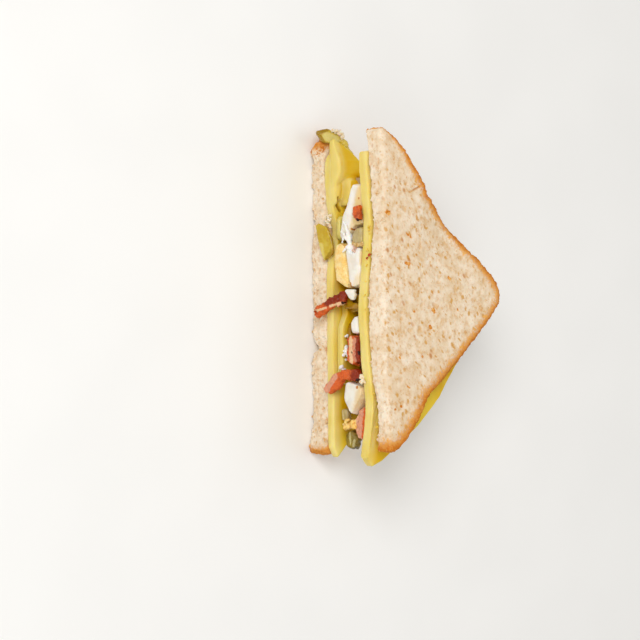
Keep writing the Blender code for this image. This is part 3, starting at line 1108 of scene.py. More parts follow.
@dataclass(frozen=True)
class Slice:
    """A slice of toast bread, cut from corner to corner. All its sizes are in millimetres."""

    node: str
    seed: int
    rind_widths: tuple[Span, ...]  # x and the width of the browned band there
    brown: tuple[Mark, ...] = ()
    pits: tuple[tuple[float, float, float, float], ...] = ()  # x, depth, half width, stretch
    gaps: tuple[Point, ...] = ()  # x, half width and height of what is torn from the lower edge
    # splits in the top, dented, and painted darker as shade through the pits' depths
    splits: tuple[Mark, ...] = ()  # a weight of 1 is a millimetre deep
    least: float = 0.0  # the least of the rind values, which keeps a crust light
    cell: float = 0.46
    ragged: float = 0.7  # the height of the roughness of the cut side
    rim_width: float = 6.0  # how far from the cut's edges the faces are ragged
    crust_width: float = 2.6  # how far from the crust its own roughness reaches
    front_depth: float = 3.0  # how far behind the cut its own look reaches

    PORES = (
        PitRule(900, (0.5 * MM, 1.0 * MM), 0.36, 1.5),
        PitRule(300, (0.9 * MM, 1.7 * MM), 0.26, 1.6),
    )
    PIT_LINE = Vector((0.57, 0.82, 0.0))  # the way in which the large pits are drawn out
    PIT_SLOPE = 0.4  # their depth as a share of their half width

    def build(self, material: bpy.types.Material) -> "Piece":
        """Makes the slice.

        Args:
            material: The crumb finish.

        Returns:
            The finished slice.
        """
        piece = Piece.from_solid(self.node).voxels(self.cell * MM, 5)
        places = piece.places()
        top = places[:, 2].max()
        cut = smoothstep(-piece.normals()[:, 1], 0.45, 0.8)
        rind = self.crust_distance(piece, cut)
        self.soften_rim(piece, cut, rind)
        piece.group("cut", cut)
        piece.group("crust", smoothstep(rind, self.crust_width, 0.6) * (1.0 - cut))
        piece.paint("front", smoothstep((places[:, 1] - CUT_Y) / MM, self.front_depth, 0.0))
        share = rind / np.interp(places[:, 0] / MM, *zip(*self.rind_widths))
        piece.paint("rind", np.maximum(share, self.least))
        piece.paint("toast", piece.strokes(self.brown))
        self.roughen(piece)
        self.tear(piece)
        allowed = np.where(rind < 1.5, 0.15, 1.0) * (1.0 - 0.6 * cut)
        sink = scatter_pits(piece, allowed, self.PORES, self.seed)
        self.add_large_pits(sink, piece.tree(), top)
        sink = np.maximum(sink, piece.strokes(self.splits) * MM)
        # the depths also colour the pits: the pore colour, and painted shade where they are deepest
        piece.paint("sink", sink / MM)
        piece.sunk(sink)
        piece.dress(material, Slot.CRUMB, self.node)
        return piece

    @staticmethod
    def crust_distance(piece: Piece, cut: np.ndarray) -> np.ndarray:
        """Measures how far the surface is from the crust.

        Args:
            piece: The slice.
            cut: For each vertex, how far it belongs to the cut side.

        Returns:
            For each vertex, the distance in millimetres.
        """
        places, normals = piece.places(), piece.normals()
        upright = np.hypot(normals[:, 0], normals[:, 1]) > 0.7
        behind = (places[:, 1] - CUT_Y) / MM > 2.0
        crust = upright & (behind | (np.abs(normals[:, 0]) > 0.75)) & (cut < 0.3)
        return distance_to(places, places[crust])

    def soften_rim(self, piece: Piece, cut: np.ndarray, rind: np.ndarray) -> None:
        """Rounds the edges of the cut side, all but their ends at the crust.

        Args:
            piece: The slice, which gets the mask "rim".
            cut: For each vertex, how far it belongs to the cut side.
            rind: For each vertex, its distance from the crust.
        """
        places, normals = piece.places(), piece.normals()
        rim = distance_to(places, places[(cut > 0.15) & (np.abs(normals[:, 2]) > 0.3)])
        piece.group("rim", smoothstep(rim, self.rim_width, 2.0) * smoothstep(rind, 0.5, 3.0))
        piece.shape("SMOOTH", factor=0.5, iterations=120, vertex_group="rim")

    def roughen(self, piece: Piece) -> None:
        """Gives the slice its unevenness, more of it at the cut, at the rim and on the crust.

        Args:
            piece: The slice, with its masks.
        """
        piece.uneven(
            Relief(0.5 * MM, 9.0 * MM, seed=self.seed),
            Relief(0.35 * MM, 1.3 * MM, seed=self.seed + 1),
            Relief(self.ragged * MM, 1.7 * MM, group="cut", seed=self.seed + 2),
            Relief(self.ragged * 1.4 * MM, 2.3 * MM, group="rim", seed=self.seed + 3),
            Relief(1.3 * MM, 2.6 * MM, group="crust", seed=self.seed + 4),
            Relief(0.7 * MM, 1.2 * MM, group="crust", seed=self.seed + 5),
        )

    def add_large_pits(self, sink: np.ndarray, tree: KDTree, top: float) -> None:
        """Adds the large pits of the upper face to the depths.

        Args:
            sink: The depths, which are changed.
            tree: The search tree over the vertices.
            top: The height of the slice's upper face.
        """
        for x, d, half_width, stretch in self.pits:
            centre = tree.find(Vector((x * MM, d * MM + CUT_Y, top)))[0]
            size = half_width * MM
            sink_pit(sink, tree, centre, size, half_width * self.PIT_SLOPE * MM, self.PIT_LINE, stretch)

    def tear(self, piece: Piece) -> None:
        """Lifts the lower edge of the cut side where crumb is torn away.

        Args:
            piece: The slice.
        """
        places = piece.places()
        x, depth, z = places[:, 0] / MM, (places[:, 1] - CUT_Y) / MM, places[:, 2] / MM
        low = smoothstep(z, 9.0, 0.0) * smoothstep(depth, 5.0, 1.0)
        lift = sum(height * hump(x - place, half_width) for place, half_width, height in self.gaps)
        places[:, 2] += lift * low * MM
        piece.move_to(places)


class Breads:
    """The two slices and their crumbs."""

    UPPER_RIND = (
        (-84.0, 0.5), (-76.0, 1.8), (-66.0, 3.4), (-52.0, 4.0), (-30.0, 4.2), (-4.0, 4.4), (20.0, 4.8),
        (60.0, 5.4), (80.0, 6.4),
    )
    LOWER_RIND = ((-86.0, 6.0), (-78.0, 4.5), (-70.0, 2.4), (60.0, 2.4), (70.0, 3.6), (80.0, 6.0))
    LOWER_BROWN = (
        Mark((-86.0, 9.0), (-76.0, 12.0), 6.0, 0.6, View.TOP),
        Mark((-80.0, 2.0), (-75.0, -2.0), 4.0, 0.4, View.TOP),
    )
    UPPER_BROWN = (
        Mark((-41.3, 2.4), (-40.6, 3.6), 1.5, 1.0, View.TOP),
        Mark((-17.0, 14.2), (-16.6, 16.6), 1.1, 1.0, View.TOP),
        Mark((-31.6, 14.7), (-29.3, 18.2), 0.8, 0.6, View.TOP),
        Mark((5.4, 31.8), (6.4, 32.4), 1.6, 0.8, View.TOP),
        Mark((-10.8, 42.6), (-9.8, 43.4), 1.0, 0.8, View.TOP),
        Mark((13.8, 29.8), (14.4, 30.4), 1.2, 0.9, View.TOP),
        Mark((5.3, 48.0), (5.8, 48.5), 0.7, 0.9, View.TOP),
        Mark((6.4, 19.2), (6.7, 19.4), 0.9, 0.8, View.TOP),
        Mark((29.0, 9.4), (29.3, 9.8), 1.0, 0.9, View.TOP),
        Mark((28.6, 24.2), (28.8, 24.5), 0.8, 0.9, View.TOP),
        Mark((43.2, 13.8), (43.8, 14.8), 0.8, 0.8, View.TOP),
        Mark((52.6, 8.7), (52.7, 9.2), 1.1, 0.8, View.TOP),
        Mark((54.2, 4.9), (54.3, 5.3), 0.8, 0.8, View.TOP),
        Mark((-64.8, -5.2), (-64.4, -4.2), 1.1, 0.7, View.TOP),
    )
    # Splits in the top, dented and painted dark as shade.
    UPPER_SPLITS = (
        Mark((-51.9, 17.0), (-53.0, 19.6), 0.6, 0.7, View.TOP),
        Mark((-53.0, 19.6), (-54.8, 23.6), 0.7, 1.0, View.TOP),
    )
    UPPER_PITS = (
        (-40.9, 2.8, 1.5, 1.1), (-31.2, 15.4, 1.0, 2.2), (-17.6, 14.6, 1.3, 1.2),
        (-16.4, 16.4, 1.1, 1.5), (3.3, 32.9, 1.7, 1.6), (14.7, 29.5, 1.3, 1.0),
        (14.7, 23.7, 1.5, 1.3), (15.7, 16.0, 1.4, 1.3), (20.6, 3.2, 1.4, 1.2),
        (33.5, 1.8, 0.9, 1.5), (-8.8, 35.3, 1.2, 1.3), (-6.3, 23.1, 1.1, 1.2),
        (-10.6, 42.4, 1.0, 1.4), (18.2, 11.5, 1.1, 1.2), (-53.6, 20.6, 0.8, 3.2),
    )
    LOWER_GAPS = (
        (24.4, 2.3, 6.4), (20.4, 2.0, 2.0), (9.0, 2.4, 1.4), (29.5, 1.4, 1.5), (-70.5, 2.4, 2.2),
        (44.0, 1.6, 0.8), (14.0, 1.2, 1.0), (2.0, 1.4, 0.8), (62.0, 3.0, 0.9), (-20.0, 2.0, 0.6),
        (-40.0, 2.2, 0.7), (-80.4, 4.2, 6.0),
    )
    LOWER = Slice(
        "bread_bottom", 11, LOWER_RIND, LOWER_BROWN, gaps=LOWER_GAPS, least=0.4, cell=0.48, ragged=1.4,
    )
    UPPER = Slice("bread_top", 23, UPPER_RIND, UPPER_BROWN, UPPER_PITS, splits=UPPER_SPLITS)
    LOWER_CRUMBS = 170
    UPPER_CRUMBS = 130
    CRUMB_REACH = 72.0 * MM  # how far from the middle of the cut crumbs lie
    CRUMB_DEPTH = 4.0 * MM

    def build(self) -> None:
        """Makes both slices with one finish, then the crumbs on them."""
        material = CrumbFinish().material()
        lower, upper = self.LOWER.build(material), self.UPPER.build(material)
        for made, count in ((lower, self.LOWER_CRUMBS), (upper, self.UPPER_CRUMBS)):
            self.add_crumbs(made, count, material)

    def add_crumbs(self, piece: Piece, count: int, material: bpy.types.Material) -> None:
        """Strews small crumbs over the cut side and along its edges.

        Args:
            piece: The slice.
            count: How many crumbs it gets.
            material: Their finish.
        """
        draw = random.Random(count)
        places, normals = piece.places(), piece.normals()
        near_cut = (normals[:, 1] < -0.2) & (places[:, 1] < CUT_Y + self.CRUMB_DEPTH)
        allowed = np.flatnonzero(near_cut & (np.abs(places[:, 0]) < self.CRUMB_REACH))
        lumps = []
        for _ in range(count):
            place = places[allowed[draw.randrange(len(allowed))]]
            size = (0.25 + 0.6 * draw.random() ** 2) * MM
            lumps.append(Lump.at(draw, place, size))
        crumbs = Piece.from_lumps(f"crumbs_on_{piece.object.name}", lumps, 2)
        crumbs.uneven(Relief(0.3 * MM, 0.5 * MM))
        crumbs.paint("rind", np.full(len(crumbs.places()), CRUMB_FAR))
        crumbs.dress(material, Slot.CRUMB)


# -------------------------------------------------------------------------------- cheeses


@dataclass(frozen=True)
class Sheet:
    """One piece of cheese: the solids that it is made of, its marks and its knife cuts."""

    nodes: tuple[str, ...]
    # strokes of painted amber shade
    amber: tuple[Mark, ...] = ()
    # cracks, dented and painted with shade
    cracks: tuple[Mark, ...] = ()
    knives: tuple[Knife, ...] = ()
    shift: Point = (0.0, 0.0, 0.0)  # of every node but the first, so that they fuse
    fillers: tuple[tuple[Point, Point], ...] = ()  # places (x, depth, z) and half widths
    # the weight of the painted shade in the cracks
    stain: float = 0.9  # how dark the cracks are
    crack_depth: float = 0.7
    cell: float = 0.45

    def build(self, material: bpy.types.Material, seed: int) -> None:
        """Makes the piece.

        Args:
            material: The cheese finish.
            seed: The seed of its unevenness.
        """
        piece = self.fused()
        if self.fillers:
            self.fill(piece)
        piece.cut(*self.knives).voxels(self.cell * MM, 1)
        normals = piece.normals()
        edge = smoothstep(np.hypot(normals[:, 0], normals[:, 1]), 0.3, 0.8)
        depth = (piece.places()[:, 1] - CUT_Y) / MM
        piece.paint("edge", np.maximum(edge, 0.9 * smoothstep(depth, 5.5, 0.5)))
        cracks = piece.strokes(self.cracks)
        # painted amber shade where the piece lies in shade
        piece.paint("amber", piece.strokes(self.amber))
        # painted shade in the cracks and grooves, which are also dented below
        piece.paint("crack", cracks * self.stain)
        piece.group("edge", edge)
        piece.uneven(
            Relief(0.4 * MM, 8.0 * MM, seed=seed),
            Relief(0.2 * MM, 1.3 * MM, (14.0, 14.0, 0.9), group="edge", seed=seed + 3),
        )
        piece.sunk(cracks * self.crack_depth * MM)
        piece.dress(material, Slot.CHEESE, *self.nodes)

    def fused(self) -> Piece:
        """Joins the solids that the piece is made of.

        Returns:
            One mesh of them all.
        """
        piece = Piece.from_solid(self.nodes[0])
        for node in self.nodes[1:]:
            other = Piece.from_solid(node)
            piece.join(other.move_to(other.places() + np.array(self.shift) * MM))
        return piece

    def fill(self, piece: Piece) -> None:
        """Fills the hollows between the solids with lumps and smooths the joins.

        Args:
            piece: The mesh of the solids.
        """
        lumps = [
            Lump((x * MM, d * MM + CUT_Y, z * MM), tuple(s * MM for s in size), (0.0, 0.0, 0.0))
            for (x, d, z), size in self.fillers
        ]
        piece.join(Piece.from_lumps("filler", lumps, 4)).voxels(self.cell * MM, 1)
        reach = distance_to(piece.places(), np.array([lump.place for lump in lumps]))
        piece.group("filled", smoothstep(reach, 7.5, 4.5))
        piece.shape("SMOOTH", factor=0.5, iterations=30, vertex_group="filled")


class Cheeses:
    """The sheets and broken bits of cheese."""

    # Painted amber shade on the lower sheet: on the tip's shaded facet, under the upper layers and at the
    # far end.
    LOWER_AMBER = (
        Mark((-61.2, 11.6), (-58.6, 12.0), 5.6, 1.0, View.TOP),
        Mark((-72.6, 1.2), (-67.0, 1.2), 0.9, 0.4, View.TOP),
        Mark((-47.8, 9.4), (-47.4, 10.0), 2.2, 0.9, View.TOP),
        Mark((50.0, 6.4), (62.0, 7.6), 3.6, 0.9, View.TOP),
        Mark((64.0, 7.6), (74.0, 6.0), 3.0, 0.3, View.TOP),
        Mark((-6.0, 10.0), (40.0, 10.0), 6.0, 0.9, View.TOP),
    )
    # Cracks at the broken tip, dented and painted with shade.
    LOWER_CRACKS = (
        Mark((-50.8, 1.9), (-48.4, 2.8), 0.9, 1.0, View.TOP),
        Mark((-47.8, 3.2), (-44.6, 5.6), 1.3, 1.0, View.TOP),
    )
    FILLERS = (
        ((-60.0, 8.2, 19.0), (4.4, 4.6, 3.8)), ((-57.4, 4.4, 16.4), (5.0, 3.2, 2.6)),
        ((-54.6, 2.0, 16.8), (7.4, 2.6, 3.6)),
    )
    POINTED = (Knife((-66.0, 9.8), (-82.0, 17.0)), Knife((-82.0, 17.6), (-66.5, 24.4)))
    # Grooves between the laminated layers, dented and painted with a little shade.
    LAMINATED = (
        Mark((-1.0, 19.6), (44.0, 20.8), 0.5, 0.7),
        Mark((-2.0, 21.0), (43.0, 22.2), 0.4, 0.5),
    )
    # Painted amber shade on the second sheet's top, which lies in shade.
    SECOND_AMBER = (
        Mark((-2.0, 9.0), (24.0, 9.6), 6.0, 1.0, View.TOP),
        Mark((24.0, 10.0), (44.0, 10.4), 4.0, 0.7, View.TOP),
    )
    SHEETS = (
        Sheet(
            ("cheese_lower", "cheese_broken_tip", "cheese_broken_inner"), LOWER_AMBER, LOWER_CRACKS,
            POINTED, (0.0, -0.2, -0.5), FILLERS,
        ),
        Sheet(("cheese_upper",)),
        Sheet(("cheese_second",), SECOND_AMBER, LAMINATED, stain=0.2),
    )

    def build(self) -> None:
        """Makes every piece of cheese with one finish."""
        material = CheeseFinish().material()
        for seed, sheet in enumerate(self.SHEETS):
            sheet.build(material, seed)


# --------------------------------------------------------------------------- the fillings


@dataclass(frozen=True)
class Chunk:
    """One chopped piece: its solid, its cuts and dents, its reliefs and what is painted on it."""

    node: str
    paints: tuple[tuple[str, tuple[Mark, ...]], ...] = ()
    knives: tuple[Knife, ...] = ()
    dents: tuple[Mark, ...] = ()  # a weight of 1 is a millimetre deep
    reliefs: tuple[Relief, ...] = (Relief(0.4 * MM, 3.0 * MM), Relief(0.12 * MM, 0.9 * MM))
    cell: float = 0.36 * MM
    passes: int = 2
    grown: Point = (1.0, 1.0, 1.0)
    moved: Point = (0.0, 0.0, 0.0)  # in millimetres

    def shaped(self) -> Piece:
        """Shapes the piece: its cuts, its paints, its dents and its reliefs.

        Returns:
            The piece, still without a finish.
        """
        piece = Piece.from_solid(self.node)
        places = piece.places()
        middle = (places.min(axis=0) + places.max(axis=0)) / 2.0
        piece.move_to((places - middle) * np.array(self.grown) + middle + np.array(self.moved) * MM)
        if self.knives:
            piece.cut(*self.knives)
        piece.voxels(self.cell, self.passes)
        for name, marks in self.paints:
            piece.paint(name, piece.strokes(marks))
        if self.dents:
            piece.sunk(piece.strokes(self.dents) * MM)
        return piece.uneven(*self.reliefs)


class Eggs:
    """The pieces of boiled egg."""

    WHITES = (
        Chunk("egg_strip_white", (
            ("tint", (
                Mark((-52.0, 39.6), (-37.0, 36.0), 6.2, 0.95),
                Mark((-40.0, 34.0), (-33.0, 31.0), 2.6, 0.6),
            )),
            ("spot", (
                Mark((-34.4, 31.4), (-34.2, 31.6), 0.9), Mark((-49.3, 37.6), (-49.0, 37.6), 0.8, 0.7),
            )),
        ), cell=0.33 * MM, grown=(1.0, 1.0, 1.1), moved=(0.0, 0.0, -0.9)),
        Chunk("egg_wedge_white", (
            ("tint", (
                Mark((-24.6, 40.6), (-17.0, 40.2), 2.4, 0.9), Mark((-9.0, 38.6), (-5.0, 35.5), 5.0, 0.5),
            )),
            ("spot", (
                Mark((-7.4, 31.6), (-5.6, 31.8), 1.2, 0.8), Mark((-25.4, 41.0), (-22.0, 40.6), 1.0, 0.8),
            )),
        ), cell=0.33 * MM),
        Chunk("egg_chip_white", (
            # the chip's tint is painted shade on its shaded side
            ("tint", (Mark((0.6, 37.0), (-3.6, 38.6), 2.4, 0.9),)),
        ), cell=0.3 * MM, passes=1),
        Chunk("egg_side_chip_white", (("tint", (Mark((9.0, 39.0), (17.0, 39.0), 2.4, 0.5),)),)),
        Chunk("egg_side_1_white"),
        Chunk("egg_side_2_white"),
    )
    CREAMY = (
        Chunk("egg_chunk_white", (
            ("tint", (
                Mark((43.0, 42.8), (56.0, 38.4), 5.2, 0.7), Mark((44.0, 44.6), (51.0, 43.0), 3.0, 0.95),
            )),
            ("spot", (Mark((43.5, 38.8), (43.9, 39.0), 1.0),)),
        ), cell=0.33 * MM, passes=1),
    )
    MEALY = (Relief(0.6 * MM, 2.4 * MM), Relief(0.35 * MM, 0.9 * MM, seed=3))
    CRUMBLED = (Relief(1.6 * MM, 1.8 * MM), Relief(0.6 * MM, 0.8 * MM, seed=3))
    YOLKS = (
        Chunk("egg_wedge_yolk", reliefs=MEALY, cell=0.35 * MM),
        Chunk("egg_crumbled_yolk", reliefs=CRUMBLED, cell=0.3 * MM, passes=1),
    )
    YOLK_PITS = (PitRule(60, (0.5 * MM, 1.1 * MM), 0.5, 1.4),)
    YOLK_SEED = 5

    def build(self) -> None:
        """Makes the whites, then the yolks."""
        creamy = EggWhiteFinish("egg_white_creamy", "F0ECE2", "E6DFD0", "E4C58A")
        for finish, chunks in ((EggWhiteFinish(), self.WHITES), (creamy, self.CREAMY)):
            white = finish.material()
            for chunk in chunks:
                chunk.shaped().dress(white, Slot.EGG_WHITE, chunk.node)
        yolk = YolkFinish().material()
        for chunk in self.YOLKS:
            piece = chunk.shaped()
            allowed = np.ones(len(piece.places()))
            sink = scatter_pits(piece, allowed, self.YOLK_PITS, self.YOLK_SEED)
            piece.paint("sink", sink / MM)
            piece.sunk(sink)
            piece.dress(yolk, Slot.EGG_YOLK, chunk.node)


class Rashers:
    """The pieces of bacon."""

    ROUGH = (
        Relief(2.6 * MM, 3.4 * MM), Relief(1.9 * MM, 1.5 * MM, seed=2), Relief(0.7 * MM, 0.7 * MM, seed=5),
    )
    FINE = (
        Relief(1.5 * MM, 3.0 * MM), Relief(1.0 * MM, 1.3 * MM, seed=2), Relief(0.45 * MM, 0.7 * MM, seed=5),
    )
    PIECES = (
        Chunk("bacon_high", (
            ("deep", (Mark((-42.0, 42.0), (-39.0, 40.0), 3.0, 0.35),)),
            ("pink", (Mark((-43.6, 35.6), (-41.0, 36.6), 1.8, 0.6),)),
            ("char", (Mark((-38.5, 40.5), (-38.2, 40.9), 1.1),)),
        ), reliefs=FINE, grown=(1.1, 1.0, 1.35), moved=(0.0, 0.0, 1.4)),
        Chunk("bacon_draped", (
            ("deep", (Mark((-2.4, 31.0), (1.0, 19.0), 4.0, 0.95),)),
            ("fat", (Mark((2.2, 26.4), (3.6, 21.0), 1.0, 0.75), Mark((4.4, 18.6), (6.0, 12.4), 0.9, 0.8))),
            ("char", (Mark((2.0, 27.8), (2.4, 28.6), 1.3), Mark((-0.6, 31.0), (0.0, 31.8), 1.0))),
            ("pink", (Mark((6.0, 9.0), (7.4, 10.0), 1.6, 0.3),)),
        ), (Knife((5.9, 7.7), (-3.2, 26.1)),), (Mark((8.4, 9.0), (6.4, 13.0), 1.1, 1.6),),
            reliefs=ROUGH, grown=(1.0, 1.0, 1.14), moved=(0.2, 0.0, 1.6)),
        Chunk("bacon_middle", (
            ("deep", (
                Mark((19.0, 39.6), (33.0, 39.6), 4.4, 1.0), Mark((18.0, 30.6), (24.0, 30.4), 1.6, 0.5),
            )),
            ("fat", (Mark((20.6, 34.0), (30.6, 34.6), 2.3, 0.85),)),
            ("pink", (Mark((20.0, 36.6), (31.0, 37.0), 1.4, 0.5),)),
            ("char", (
                Mark((33.0, 38.0), (33.4, 40.0), 1.6), Mark((26.6, 34.8), (27.0, 35.2), 0.8, 0.9),
                Mark((26.4, 39.6), (27.4, 39.8), 0.9, 0.8),
            )),
        ), dents=(Mark((19.0, 37.0), (32.0, 37.6), 0.9, 0.8),), reliefs=FINE, moved=(0.0, 0.0, 1.4)),
        Chunk("bacon_band", (
            ("pink", (Mark((45.8, 18.6), (38.6, 24.4), 2.4, 1.0),)),
            ("deep", (Mark((41.0, 40.0), (34.0, 42.0), 8.0, 1.3),)),
            ("char", (Mark((40.4, 38.8), (40.6, 42.6), 1.7, 0.9),)),
        ), reliefs=FINE),
        Chunk("bacon_low", (
            ("pink", (Mark((52.6, 37.4), (68.0, 35.6), 4.4, 1.0),)),
            ("fat", (Mark((57.0, 35.4), (65.0, 35.4), 1.4, 0.4),)),
        ), dents=(Mark((55.0, 39.6), (67.0, 38.6), 0.9, 0.6),), reliefs=FINE),
        Chunk("bacon_side_1", (("fat", (Mark((-40.0, 28.6), (-20.0, 28.6), 1.0, 0.9),)),), reliefs=FINE),
        Chunk("bacon_side_2", (("fat", (Mark((24.0, 30.0), (44.0, 30.0), 1.0, 0.9),)),), reliefs=FINE),
    )

    def build(self) -> None:
        """Makes every piece of bacon with one finish."""
        material = BaconFinish().material()
        for chunk in self.PIECES:
            chunk.shaped().dress(material, Slot.BACON, chunk.node)


class Pickles:
    """The pieces of pickled cucumber."""

    YELLOW = PickleFinish("pickle_yellow", "CCB238", "BC960E", "9C7802", "DACA70")
    # Pickle colours darkened to amber as painted shade, for the long slice, which lies in shade.
    GOLDEN = PickleFinish("pickle_golden", "B08204", "8E6600", "7C5C00", "C09A28")
    OLIVE = PickleFinish("pickle_olive", "B68A0C", "8C6000", "6A4800", "D2AE3C")
    GREY = PickleFinish("pickle_grey", "C2AF7C", "AC9458", "947C40", "D6CB9C")
    CLEAR = PickleFinish("pickle_clear", "94803A", "645418", "50440E", "CFC48C")
    SOFT = (Relief(0.35 * MM, 3.0 * MM), Relief(0.1 * MM, 0.9 * MM))
    LUMPY = (Relief(1.4 * MM, 2.6 * MM), Relief(0.5 * MM, 1.2 * MM, seed=2))
    LEDGE = Chunk("pickle_ledge", (
        ("skin", (
            Mark((-32.6, 18.8), (-25.0, 21.0), 3.0, 0.85), Mark((-24.0, 19.6), (-19.6, 16.4), 3.2, 0.7),
        )),
        ("pale", (Mark((-27.0, 12.8), (-19.4, 13.8), 2.4, 0.6),)),
    ), (Knife((-24.5, 20.8), (-18.0, 15.2)),), reliefs=SOFT, passes=3, moved=(0.0, 0.0, 0.6))
    TIP = Chunk("pickle_tip", (
        ("skin", (
            Mark((-86.4, 0.0), (-84.0, -6.4), 3.0, 0.9, View.TOP),
            Mark((-84.0, -6.4), (-78.0, -1.6), 2.0, 0.7, View.TOP),
        )),
        ("pale", (Mark((-81.8, -0.6), (-80.0, 8.0), 4.2, 0.7, View.TOP),)),
    ), reliefs=SOFT, passes=4)
    STACK = (
        Chunk("pickle_stack_lower", (
            ("pale", (Mark((-42.0, 19.0), (-30.0, 19.6), 3.0, 0.7),)), ("skin", ()),
        ), reliefs=SOFT, passes=4),
        Chunk("pickle_stack_upper", (
            ("pale", (Mark((-41.0, 22.0), (-31.0, 22.6), 1.6, 0.9),)), ("skin", ()),
        ), reliefs=SOFT, passes=4),
    )
    LONG = Chunk("pickle_long", (("skin", ()),), reliefs=SOFT, passes=4)
    FRONT = Chunk("pickle_olive_front", (("pale", (Mark((-2.0, 23.4), (4.6, 23.8), 1.0, 0.7),)),))
    ROUND = Chunk("pickle_round", (
        ("skin", (
            Mark((-31.0, 31.6), (-34.8, 35.0), 1.2, 0.8), Mark((-28.4, 32.0), (-27.0, 35.0), 1.0, 0.7),
        )),
    ), reliefs=SOFT, passes=3, grown=(1.3, 1.0, 1.1), moved=(0.5, -0.3, 0.8))
    SMALL = Chunk("pickle_small", (
        ("pale", (Mark((56.0, 22.0), (60.0, 23.0), 1.0, 0.5),)),
        ("skin", (Mark((55.0, 25.6), (60.0, 26.4), 0.9, 0.6),)),
    ), reliefs=SOFT)
    END = Chunk("pickle_end", (
        # Pale streaks of clear flesh, partly painted highlights.
        ("pale", (
            Mark((66.0, 26.0), (72.0, 26.4), 1.5, 0.7), Mark((70.0, 30.6), (73.0, 29.0), 1.0, 0.5),
        )),
    ), reliefs=LUMPY, passes=2)
    PIECES = (
        (YELLOW, (LEDGE, TIP, *STACK, Chunk("pickle_side_1"), Chunk("pickle_side_3"))),
        (GOLDEN, (LONG,)),
        (OLIVE, (FRONT, Chunk("pickle_olive_back"), Chunk("pickle_side_2"), Chunk("pickle_side_4"))),
        (GREY, (ROUND, SMALL)),
        (CLEAR, (END,)),
    )

    def build(self) -> None:
        """Makes every piece of pickle, and gives each a skin at its ends unless it has its own."""
        for finish, chunks in self.PIECES:
            material = finish.material()
            for chunk in chunks:
                piece = chunk.shaped()
                if "skin" not in dict(chunk.paints):
                    piece.paint("skin", smoothstep(np.abs(piece.normals()[:, 0]), 0.6, 0.9))
                piece.dress(material, Slot.PICKLE, chunk.node)


@dataclass(frozen=True)
class Trail:
    """A chain of lumps: points (x, depth behind the cut, z, half width) in millimetres."""

    points: tuple[tuple[float, float, float, float], ...]

    def lumps(self, draw: random.Random) -> list[Lump]:
        """Lumps set close along the chain, a little out of line.

        Args:
            draw: The source of random numbers.

        Returns:
            The lumps, from the first point to the last.
        """
        made = []
        for start, end in zip(self.points, self.points[1:]):
            length = math.dist(start[:3], end[:3])
            steps = max(1, round(length / (0.6 * start[3])))
            for step in range(steps + 1):
                x, d, z, size = (a + (b - a) * step / steps for a, b in zip(start, end))
                jitter = [draw.uniform(-0.15, 0.15) * size for _ in range(3)]
                place = ((x + jitter[0]) * MM, (d + jitter[1]) * MM + CUT_Y, (z + jitter[2]) * MM)
                made.append(Lump.at(draw, place, size * draw.uniform(0.75, 1.15) * MM))
        return made


